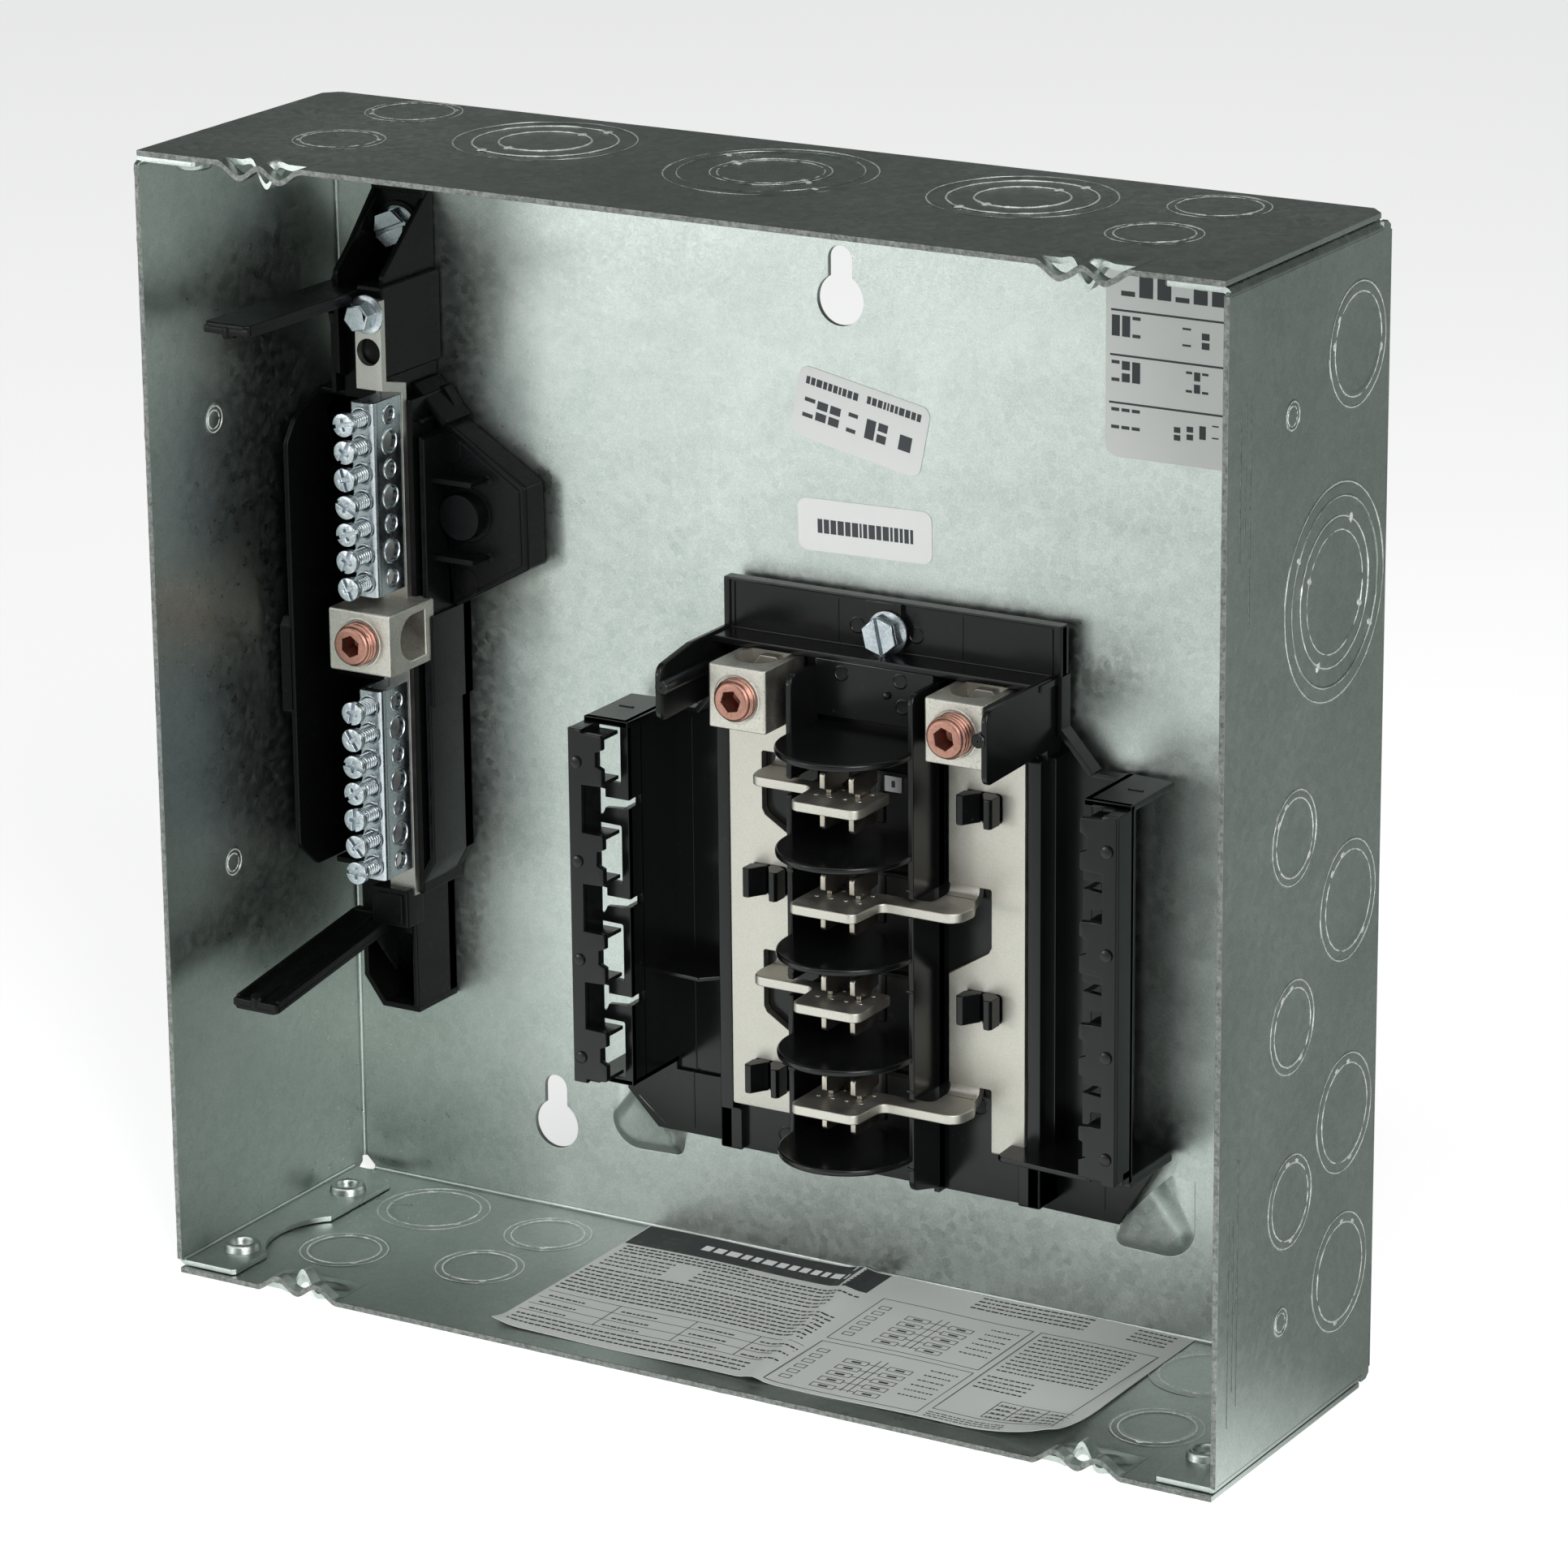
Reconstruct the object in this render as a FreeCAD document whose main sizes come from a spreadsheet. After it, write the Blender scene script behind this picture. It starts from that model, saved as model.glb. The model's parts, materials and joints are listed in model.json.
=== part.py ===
import FreeCAD, Part
import math
import os
import Sketcher

# Breaker panel box: a folded sheet-metal enclosure with a moulded breaker base,
# two bus bars, three wire lugs, a neutral assembly and its terminal screws.
# Frame: origin at the centre of the back's outer face, +X right, +Y into the wall, +Z up.
# "Standoff" sizes are distances in front of the back's outer face, that is along -Y.

SIZES = {
    # enclosure
    "box_width": 290.0, "plate_width": 288.0, "box_height": 285.0, "box_depth": 82.6,
    "sheet": 1.4, "seam_gap": 0.25, "flange_width": 16.5, "flange_back": 6.0,
    "flange_front": 2.0, "bend_radius": 1.8, "corner_relief": 2.2,
    "clinch_radius": 4.0, "clinch_rise": 1.6, "clinch_recess_radius": 2.3,
    "clinch_x": 133.5, "clinch_front": 69.0, "clinch_rear": 22.5,
    "groove_width": 0.35, "groove_depth": 0.9,
    "keyhole_radius": 6.35, "keyhole_slot_radius": 3.25, "keyhole_rise": 10.0,
    "top_keyhole_x": 1.0, "top_keyhole_z": 105.6, "low_keyhole_x": -84.0, "low_keyhole_z": -118.6,
    "boss_x": 109.0, "boss_half_width": 13.5, "boss_strip": 2.7, "boss_wave": 5.0,
    "boss_flat": 2.5, "pocket_rise": 4.6, "pocket_slit": 3.2,
    # breaker base
    "base_x": 18.0, "pitch": 25.4, "first_stab_z": -8.3, "floor_back": 3.5, "floor_front": 6.0,
    "bus_seat": 12.9, "moulded_wall": 1.6, "seat_top": 21.2, "base_top": 22.9, "base_bottom": -112.0,
    "floor_half_width": 66.0, "seat_half_width": 43.0, "flange_half_width": 46.4,
    "base_flange_top": 35.1, "base_flange_front": 8.0, "channel_half_width": 17.1,
    "channel_front": 28.0, "channel_top": 17.0, "disc_standoff": 29.4,
    "rail_half_width": 75.2, "rail_depth": 12.5, "rail_front": 27.0, "hook_front": 34.5,
    "hook_wall": 3.7, "hook_reach": 8.6, "hook_length": 12.7, "hook_plate": 1.8,
    "rail_top": 0.7, "rail_bottom": -92.5, "window_width": 5.0,
    "lug_wall_half_width": 45.5, "lug_wall_front": 41.0, "lug_wall_top": 21.5,
    "lug_wall_bottom": 5.0, "lug_wall_corner": 2.0, "clip_height": 6.0, "clip_above": 24.3,
    "clip_below": 29.0, "clip_half_width": 3.4, "clip_front": 20.6, "clip_stem": 1.4,
    "clip_lip": 1.2, "window_inset": 2.3, "window_above": 7.2, "window_below": 5.6,
    "slot_stem": 4.4, "slot_bar_low": 2.2, "slot_bar_high": 4.4, "slot_low": 2.0,
    "slot_high": 6.0, "left_shelf_z": -66.0, "left_shelf_reach": 16.0, "right_shelf_z": -94.5,
    "right_shelf_reach": 28.0, "base_screw_pad": 0.8, "base_screw_pad_half": 4.5,
    "seat_shell": 2.4, "lug_recess": 3.0, "lug_clearance": 0.3,
    # bus bars, stabs and line lugs
    "bus_thickness": 2.5, "bus_inner": 20.0, "bus_outer": 40.9, "bus_bottom": -97.2, "bus_top": 4.1,
    "tab_root_half": 31.7, "tab_shoulder": 28.0, "tab_front": 40.6, "tab_nose_half": 9.4,
    "bend_inner": 2.0, "cut_depth": 19.0, "blade_gap_half": 3.97, "blade_thickness": 1.4,
    "blade_half_height": 7.2, "blade_front": 34.0, "blade_back": 21.0, "blade_neck": 3.0,
    "blade_head": 4.0, "fit_gap": 0.05,
    "lug_width": 15.9, "lug_height": 15.9, "lug_front": 30.1, "lug_back": 11.0,
    "lug_x": 29.7, "lug_top": 20.3, "lug_bore_radius": 5.7, "lug_roof": 4.9,
    "screw_radius": 5.4, "screw_length": 11.0, "socket_radius": 3.0, "socket_depth": 5.0,
    # neutral assembly
    "neutral_x": -115.5, "carrier_x": -122.0, "carrier_half_width": 15.0,
    "carrier_neck_half": 7.5, "carrier_front": 19.5, "carrier_top": 122.0,
    "carrier_bottom": -88.0, "carrier_shoulder_top": 72.0, "carrier_shoulder_bottom": -50.0,
    "carrier_back": 1.5, "carrier_wall": 2.0, "strap_width": 7.5, "strap_thickness": 2.0,
    "strap_low": 21.5, "strap_high": 30.0, "strap_top": 98.5, "strap_bottom": -56.0,
    "strap_step": 77.0, "bar_front": 34.0, "bar_width": 7.0, "bar_web": 2.6, "bar_skin": 1.0,
    "bar_length": 49.0, "bar_top_upper": 73.5, "bar_top_lower": 0.3, "terminal_pitch": 6.9,
    "terminal_first": 3.8, "terminal_radius": 2.05, "terminal_head_radius": 2.8,
    "terminal_head": 2.5, "terminal_head_front": 42.0, "terminal_length": 12.0,
    "terminal_slot": 0.8, "wire_small": 2.1, "wire_large": 2.95, "wire_standoff": 27.2,
    "neutral_lug_width": 18.0, "neutral_lug_top": 21.6, "neutral_lug_front": 37.5,
    "neutral_lug_back": 17.6, "bond_z": 94.9, "bond_radius": 2.3, "bond_hex": 4.2,
    "bond_washer": 4.9, "bond_head": 5.2, "bond_length": 26.0, "strap_hole_z": 85.4,
    "strap_hole_radius": 3.4, "mount_screw_z": 111.5, "mount_screw_radius": 2.2,
    "mount_hex": 5.0, "base_screw_z": 27.7, "bore_gap": 0.05,
    "wing_thickness": 8.5, "wing_boss_x": -101.0, "wing_boss_z": 41.7, "wing_boss_radius": 5.9,
    "wing_boss_rise": 4.5, "wing_rib_end": -95.1, "wing_rib_rise": 7.5, "wing_rib": 1.5,
    "wing_rib_low": 30.8, "wing_rib_high": 50.6, "insulating_front": 35.0, "arm_left": 10.0,
    "arm_right": 3.0, "arm_thickness": 1.6, "neutral_lug_roof": 5.0,
    # paper labels
    "paper": 0.15,
}
TERMINALS = 7
STABS = 4

# side, corner x, corner z, reach along X, rise along Z
CORNER_POCKETS = ((1, 97.5, -120.0, 20.0, 20.0), (-1, -67.3, -120.0, 19.5, 16.5))
# the mounting wing's free corners as (x, z), from the lowest one up
WING_CORNERS = ((-104.6, 17.7), (-83.5, 29.6), (-83.8, 50.6), (-105.7, 64.1))
WING_TOP_ROOT_Z = 68.0
# root z, tip z, tip standoff
WIRE_ARMS = ((99.0, 99.5, 75.0), (-64.5, -72.5, 73.0))
# name, centre x, centre z, width, height, rise per unit run
BACK_LABELS = (("ratings_label", 102.3, 101.5, 60.0, 50.0, 0.0),
               ("line_label", 6.2, 76.6, 36.5, 17.8, -0.2),
               ("inspection_label", 7.4, 49.7, 37.0, 13.0, 0.02))
LABEL_CORNER = 2.0
# the wiring diagram's corners as (x, y) on the inside of the bottom
DIAGRAM_CORNERS = ((-55.0, -75.0), (97.0, -76.0), (97.5, -2.5), (-55.0, -2.5))

document = FreeCAD.newDocument("breaker_panel_box")
sheet = document.addObject("Spreadsheet::Sheet", "Sizes")
for row, (alias, number) in enumerate(SIZES.items(), start=1):
    sheet.set("A%d" % row, alias)
    sheet.set("B%d" % row, repr(number))
    sheet.setAlias("B%d" % row, alias)
document.recompute()


class Size:
    """A number that remembers the spreadsheet expression it came from."""

    def __init__(self, value, text):
        self.value = float(value)
        self.text = text

    def __add__(self, other):
        other = size(other)
        return Size(self.value + other.value, "(%s + %s)" % (self.text, other.text))

    def __sub__(self, other):
        other = size(other)
        return Size(self.value - other.value, "(%s - %s)" % (self.text, other.text))

    def __mul__(self, other):
        other = size(other)
        return Size(self.value * other.value, "(%s * %s)" % (self.text, other.text))

    def __truediv__(self, other):
        other = size(other)
        return Size(self.value / other.value, "(%s / %s)" % (self.text, other.text))

    def __neg__(self):
        return Size(-self.value, "(0 - %s)" % self.text)

    def __radd__(self, other):
        return size(other) + self

    def __rsub__(self, other):
        return size(other) - self

    def __rmul__(self, other):
        return self * other


def size(item):
    """A Size from a Size, a spreadsheet alias or a plain number."""
    if isinstance(item, Size):
        return item
    if isinstance(item, str):
        return Size(SIZES[item], "Sizes." + item)
    return Size(item, "(%r)" % float(item))


# ---- helpers: bodies, sketches and features -------------------------------------------

def new_body(label):
    body = document.addObject("PartDesign::Body", label)
    body.Label = label
    return body


def origin_plane(body, role):
    return next(item for item in body.Origin.OriginFeatures if item.Role == role)


def new_sketch(body, role, offset=0):
    """A sketch on one of the body's origin planes, moved along the plane's normal.
    XZ_Plane faces -Y, so its offset is a standoff; YZ_Plane faces +X; XY_Plane faces +Z."""
    sketch = body.newObject("Sketcher::SketchObject", body.Label + "_sketch")
    sketch.AttachmentSupport = [(origin_plane(body, role), "")]
    sketch.MapMode = "FlatFace"
    sketch.setExpression("AttachmentOffset.Base.z", size(offset).text)
    sketch.AttachmentOffset.Base.z = size(offset).value
    return sketch


def constrain(sketch, kind, geometry, end, amount):
    """Ties one end of a sketch element to the origin by an expression."""
    index = sketch.addConstraint(Sketcher.Constraint(kind, -1, 1, geometry, end, amount.value))
    sketch.setExpression("Constraints[%d]" % index, amount.text)


def outline(sketch, corners):
    """A closed outline of straight sides through the given corners."""
    corners = [(size(u), size(v)) for u, v in corners]
    vectors = [FreeCAD.Vector(u.value, v.value, 0) for u, v in corners]
    first = sketch.GeometryCount
    for index in range(len(vectors)):
        ends = vectors[index], vectors[(index + 1) % len(vectors)]
        sketch.addGeometry(Part.LineSegment(*ends))
    for index, (u, v) in enumerate(corners):
        following = first + (index + 1) % len(corners)
        sketch.addConstraint(Sketcher.Constraint("Coincident", first + index, 2, following, 1))
        constrain(sketch, "DistanceX", first + index, 1, u)
        constrain(sketch, "DistanceY", first + index, 1, v)


def rectangle(sketch, left, right, low, high):
    outline(sketch, [(left, low), (right, low), (right, high), (left, high)])


def circle(sketch, u, v, radius):
    u, v, radius = size(u), size(v), size(radius)
    centre = FreeCAD.Vector(u.value, v.value, 0)
    index = sketch.addGeometry(Part.Circle(centre, FreeCAD.Vector(0, 0, 1), radius.value))
    place = sketch.addConstraint(Sketcher.Constraint("Radius", index, radius.value))
    sketch.setExpression("Constraints[%d]" % place, radius.text)
    constrain(sketch, "DistanceX", index, 3, u)
    constrain(sketch, "DistanceY", index, 3, v)


def pad(body, sketch, length, backwards=False):
    feature = body.newObject("PartDesign::Pad", body.Label + "_pad")
    feature.Profile = sketch
    feature.Refine = False
    feature.Length = size(length).value
    feature.setExpression("Length", size(length).text)
    feature.Reversed = backwards
    sketch.Visibility = False
    return feature


def pocket(body, sketch, depth, forwards=True):
    """Cuts from the sketch plane; forwards means along the plane's own normal."""
    feature = body.newObject("PartDesign::Pocket", body.Label + "_pocket")
    feature.Profile = sketch
    feature.Refine = False
    feature.Length = size(depth).value
    feature.setExpression("Length", size(depth).text)
    feature.Reversed = forwards
    sketch.Visibility = False
    return feature


def blocks(body, role, offset, length, rectangles):
    """Pads a set of rectangles, each given as left, right, low, high."""
    sketch = new_sketch(body, role, offset)
    for sides in rectangles:
        rectangle(sketch, *sides)
    return pad(body, sketch, length)


def block(body, role, offset, length, left, right, low, high):
    return blocks(body, role, offset, length, [(left, right, low, high)])


def notches(body, role, offset, depth, rectangles):
    """Cuts a set of rectangles, each given as left, right, low, high."""
    sketch = new_sketch(body, role, offset)
    for sides in rectangles:
        rectangle(sketch, *sides)
    return pocket(body, sketch, depth)


def notch(body, role, offset, depth, left, right, low, high):
    return notches(body, role, offset, depth, [(left, right, low, high)])


def turn(body, corners):
    """Revolves a half outline, given as (radius, height along -Y), about the Y axis."""
    sketch = new_sketch(body, "XY_Plane")
    outline(sketch, [(radius, -size(height)) for radius, height in corners])
    feature = body.newObject("PartDesign::Revolution", body.Label + "_turn")
    feature.Profile = sketch
    feature.ReferenceAxis = (origin_axis(body, "Y_Axis"), [""])
    feature.Angle = 360
    sketch.Visibility = False
    return feature


def origin_axis(body, role):
    return next(item for item in body.Origin.OriginFeatures if item.Role == role)


def hexagon(sketch, across):
    """A six-sided outline centred on the sketch origin, given its corner radius."""
    half = size(across) / 2
    tall = size(across) * 0.8660254
    across = size(across)
    outline(sketch, [(across, 0), (half, tall), (-half, tall),
                     (-across, 0), (-half, -tall), (half, -tall)])


def place(body, x, standoff, z):
    """Moves a body that was drawn about the origin to its own place."""
    x, y, z = size(x), -size(standoff), size(z)
    body.Placement = FreeCAD.Placement(FreeCAD.Vector(x.value, y.value, z.value),
                                       FreeCAD.Rotation())
    for axis, amount in (("x", x), ("y", y), ("z", z)):
        body.setExpression("Placement.Base." + axis, amount.text)


def rounded(body, radius, wanted):
    """Fillets the straight edges of the body's last solid that the test picks out."""
    body.Tip.Refine = True
    document.recompute()
    base = body.Tip
    names = ["Edge%d" % (index + 1) for index, edge in enumerate(base.Shape.Edges) if wanted(edge)]
    feature = body.newObject("PartDesign::Fillet", body.Label + "_fillet")
    feature.Base = (base, names)
    feature.Radius = size(radius).value
    feature.setExpression("Radius", size(radius).text)
    return feature


def mirror_x(side, amount):
    """The base is symmetric about base_x: side is -1 or 1."""
    return size("base_x") + size(amount) * side


def ordered(first, second):
    return sorted((size(first), size(second)), key=lambda item: item.value)


def span(side, near, far):
    """The left and right limits of a stretch on one side of the base's middle."""
    return ordered(mirror_x(side, near), mirror_x(side, far))


# ---- enclosure ------------------------------------------------------------------------

# (standoff, z, ring radii) for the right wall; (x, standoff, radii) for the top and bottom
HALF_INCH, THREE_QUARTER, ONE_INCH = 11.1, 14.3, 17.45
RIGHT_KNOCKOUTS = [
    (18.4, 115.1, (HALF_INCH, THREE_QUARTER)), (28.4, 59.8, (14.3, 17.45, 22.0, 25.2)),
    (46.9, 6.8, (8.7, HALF_INCH)), (18.4, -16.2, (HALF_INCH, THREE_QUARTER)),
    (46.6, -38.6, (HALF_INCH,)), (18.5, -68.4, (HALF_INCH, THREE_QUARTER)),
    (46.5, -81.1, (HALF_INCH,)), (19.6, -107.7, (HALF_INCH, THREE_QUARTER)),
    (50.9, 105.7, (3.25,)), (50.2, -109.5, (3.25,)),
]
LEFT_KNOCKOUTS = [(55.9, 71.0, (3.25,)), (54.5, -42.7, (3.25,))]
TOP_KNOCKOUTS = [
    (-110.7, 14.5, (HALF_INCH, THREE_QUARTER)), (-108.3, 50.1, (HALF_INCH, THREE_QUARTER)),
    (-63.9, 28.5, (14.3, 22.0, 27.0)), (1.1, 33.1, (17.45, 22.0, 31.35)),
    (65.5, 29.4, (14.3, 22.0, 27.0)), (109.5, 17.4, (HALF_INCH, THREE_QUARTER)),
    (109.3, 48.8, (HALF_INCH, THREE_QUARTER)),
]
BOTTOM_KNOCKOUTS = [
    (-108.0, 20.5, (14.3, ONE_INCH)), (-111.0, 53.0, (HALF_INCH, THREE_QUARTER)),
    (-78.9, 46.0, (HALF_INCH, THREE_QUARTER)), (-70.0, 19.1, (HALF_INCH, THREE_QUARTER)),
    (108.0, 20.5, (14.3, ONE_INCH)), (111.0, 50.0, (HALF_INCH, THREE_QUARTER)),
]


def ring_grooves(body, role, offset, knockouts, forwards):
    """The sheared rings of the knockouts: grooves that leave a thin web in the sheet."""
    sketch = new_sketch(body, role, offset)
    for u, v, radii in knockouts:
        for radius in radii:
            circle(sketch, u, v, radius)
            circle(sketch, u, v, size(radius) - "groove_width")
    return pocket(body, sketch, "groove_depth", forwards)


def keyhole(body, x, z):
    """A screw keyhole: a round entry, a narrower slot above it, and the slot's round end."""
    top = size(z) + "keyhole_rise"
    for v, radius in ((size(z), "keyhole_radius"), (top, "keyhole_slot_radius")):
        sketch = new_sketch(body, "XZ_Plane")
        circle(sketch, x, v, radius)
        pocket(body, sketch, "sheet")
    half = size("keyhole_slot_radius")
    notch(body, "XZ_Plane", 0, "sheet", size(x) - half, size(x) + half, z, top)


def cover_screw_boss(body, x, side):
    """The front edge is slit and formed into two opposed waves that grip a cover screw."""
    outer = size("box_height") / 2
    inner = outer - "sheet"
    half = size("boss_half_width")
    flat = size("boss_flat")
    depth = size("box_depth")
    back = size("boss_strip") * 2
    notch(body, "XZ_Plane", depth - back, back, size(x) - half, size(x) + half,
          *sorted((side * inner, side * outer), key=lambda item: item.value))
    for offset, wave in ((depth - "boss_strip", -1), (depth - back, 1)):
        drop = size("boss_wave") * (wave * side)
        if wave > 0:
            drop = drop * 0.5
        if (drop * side).value > 0:
            drop = size(0)
        sketch = new_sketch(body, "XZ_Plane", offset)
        near, far = outer * side, inner * side
        run = [(-half, 0), (-half * 0.55, 0), (-flat, 1), (flat, 1), (half * 0.55, 0), (half, 0)]
        upper = [(size(x) + u, near + drop * step) for u, step in run]
        lower = [(size(x) + u, far + drop * step) for u, step in reversed(run)]
        outline(sketch, upper + lower)
        pad(body, sketch, "boss_strip")


def corner_pocket(body, side, corner_x, corner_z, reach, rise):
    """A lanced triangular pocket in the back that a lower corner of the base slides into."""
    sketch = new_sketch(body, "XZ_Plane", size("sheet") - 0.2)
    x, z = size(corner_x), size(corner_z)
    outline(sketch, [(x, z), (x, z + rise), (x - reach * side, z)])
    pad(body, sketch, size("pocket_rise") + 0.2)
    inset = 2.0
    inner = new_sketch(body, "XZ_Plane", "sheet")
    outline(inner, [(x - inset * side, z + inset), (x - inset * side, z + rise + inset),
                    (x - (reach + inset) * side, z + rise + inset),
                    (x - (reach + inset) * side, z + inset)])
    return pocket(body, inner, "pocket_slit")


def enclosure_box():
    body = new_body("enclosure_box")
    half_w, half_h = size("box_width") / 2, size("box_height") / 2
    plate, t, gap = size("plate_width") / 2, size("sheet"), size("seam_gap")
    wall_top = half_h - t - gap
    block(body, "XZ_Plane", 0, t, -half_w, half_w, -wall_top, wall_top)
    block(body, "XZ_Plane", 0, t, -plate, plate, -half_h, half_h)
    for side in (-1, 1):
        low, high = sorted((half_h * side, (half_h - t) * side), key=lambda item: item.value)
        block(body, "XZ_Plane", 0, "box_depth", -plate, plate, low, high)
        left, right = sorted((half_w * side, (half_w - t) * side), key=lambda item: item.value)
        block(body, "XZ_Plane", 0, "box_depth", left, right, -wall_top, wall_top)
    for side in (-1, 1):
        for end in (-1, 1):
            relief = new_sketch(body, "XZ_Plane")
            circle(relief, (half_w - t * 1.5) * side, (half_h - t * 1.5) * end, "corner_relief")
            pocket(body, relief, t * 2)
    rounded(body, "bend_radius", lambda edge: edge.Length > 200
            and abs(edge.BoundBox.YMax) < 1e-6 and abs(edge.BoundBox.YMin) < 1e-6)
    length = size("box_depth") - "flange_back" - "flange_front"
    for side in (-1, 1):
        left, right = sorted((half_w * side, (half_w - "flange_width") * side),
                             key=lambda item: item.value)
        for end in (-1, 1):
            low, high = sorted((wall_top * end, (wall_top - t) * end),
                               key=lambda item: item.value)
            block(body, "XZ_Plane", "flange_back", length, left, right, low, high)
            for standoff in ("clinch_front", "clinch_rear"):
                clinch_joint(body, size("clinch_x") * side, standoff, end, half_h)
    keyhole(body, "top_keyhole_x", "top_keyhole_z")
    keyhole(body, "low_keyhole_x", "low_keyhole_z")
    for side, x, z, reach, rise in CORNER_POCKETS:
        corner_pocket(body, side, x, z, reach, rise)
    ring_grooves(body, "YZ_Plane", half_w, [(-u, v, r) for u, v, r in RIGHT_KNOCKOUTS], False)
    ring_grooves(body, "YZ_Plane", -half_w, [(-u, v, r) for u, v, r in LEFT_KNOCKOUTS], True)
    ring_grooves(body, "XY_Plane", half_h, [(u, -v, r) for u, v, r in TOP_KNOCKOUTS], False)
    ring_grooves(body, "XY_Plane", -half_h, [(u, -v, r) for u, v, r in BOTTOM_KNOCKOUTS], True)
    for side in (-1, 1):
        for x in (-size("boss_x"), size("boss_x")):
            cover_screw_boss(body, x, side)
    return body


def clinch_joint(body, x, standoff, end, half_h):
    """A round clinch that locks the side wall's flange to the top or bottom plate."""
    depth = size("sheet") * 2 + "seam_gap" + "clinch_rise"
    button = new_sketch(body, "XY_Plane", half_h * end)
    circle(button, x, -size(standoff), "clinch_radius")
    pad(body, button, depth, backwards=end > 0)
    recess = new_sketch(body, "XY_Plane", (half_h - depth) * end)
    circle(recess, x, -size(standoff), "clinch_recess_radius")
    pocket(body, recess, "clinch_rise", forwards=end > 0)


# ---- breaker base ---------------------------------------------------------------------

def stab_z(index):
    return size("first_stab_z") - size("pitch") * index


def interior_base():
    body = new_body("interior_base")
    base_floor(body)
    base_flange(body)
    barrier_discs(body)
    lug_walls(body)
    for side in (-1, 1):
        breaker_rail(body, side)
    bus_clips(body)
    return body


def base_floor(body):
    """The floor with its two cut corners, and the raised seat that carries the buses."""
    sketch = new_sketch(body, "XZ_Plane", "floor_back")
    cx, wide, narrow = size("base_x"), size("floor_half_width"), size("flange_half_width")
    top, low = size("base_top"), size("base_bottom")
    seat_top = size("seat_top")
    outline(sketch, [(cx - narrow, top), (cx - wide, 0), (cx - wide, low),
                     (cx + wide, low), (cx + wide, 0), (cx + narrow, top)])
    thick = size("floor_front") - "floor_back"
    pad(body, sketch, thick)
    seat = size("seat_half_width")
    block(body, "XZ_Plane", "floor_back", size("bus_seat") - "floor_back",
          cx - seat, cx + seat, low, seat_top)
    hollow = size("bus_seat") - "floor_back" - "seat_shell"
    wall = size("moulded_wall")
    notch(body, "XZ_Plane", "floor_back", hollow, cx - seat + wall, cx + seat - wall,
          low + wall, seat_top - wall)
    reach = size("lug_width") / 2 + "lug_clearance"
    lug_low = size("lug_top") - "lug_height" - "lug_clearance"
    recesses = [(mirror_x(side, size("lug_x")) - reach, mirror_x(side, size("lug_x")) + reach,
                 lug_low, seat_top + 1) for side in (-1, 1)]
    notches(body, "XZ_Plane", size("lug_back") - 0.2, "lug_recess", recesses)
    for side in (-1, 1):
        left, right = sorted((mirror_x(side, seat), mirror_x(side, seat + "bus_thickness")),
                             key=lambda item: item.value)
        block(body, "XZ_Plane", "floor_back", size("bus_seat") - 1.4, left, right, low + 2, 0)


def base_flange(body):
    """The upright flange along the top that carries the mounting screw."""
    cx, half = size("base_x"), size("flange_half_width")
    front = size("base_flange_front")
    block(body, "XZ_Plane", front - 2.5, 2.5, cx - half, cx + half, size("base_top") - 2,
          "base_flange_top")
    pad_half = size("base_screw_pad_half")
    block(body, "XZ_Plane", front, "base_screw_pad", cx - pad_half, cx + pad_half, "base_top",
          "base_flange_top")
    hole = new_sketch(body, "XZ_Plane", "floor_back")
    circle(hole, cx, "base_screw_z", size("mount_screw_radius") + 0.1)
    pocket(body, hole, 8)


def barrier_discs(body):
    """Two channel walls and five round-nosed barriers between the breaker stabs."""
    cx, half, wall = size("base_x"), size("channel_half_width"), size("moulded_wall")
    seat, low = size("bus_seat"), size("base_bottom")
    for side in (-1, 1):
        left, right = sorted((mirror_x(side, half), mirror_x(side, half - wall)),
                             key=lambda item: item.value)
        block(body, "XZ_Plane", seat - 0.2, size("channel_front") - seat + 0.2, left, right, low,
              "channel_top")
    for index in range(STABS + 1):
        z = stab_z(index) + size("pitch") / 2 - wall / 2
        sketch = new_sketch(body, "XY_Plane", z)
        round_nose(sketch, cx, half, size("disc_standoff"), seat)
        pad(body, sketch, wall)
    gap = size("bus_thickness") / 2 + 0.6
    slots = []
    for index in range(STABS):
        z = stab_z(index)
        side = -1 if index % 2 == 0 else 1
        slots.append((*span(side, half - wall - 1, half + 1), z - gap, z + gap))
    notches(body, "XZ_Plane", seat, size("channel_front") - seat + 1, slots)


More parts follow.
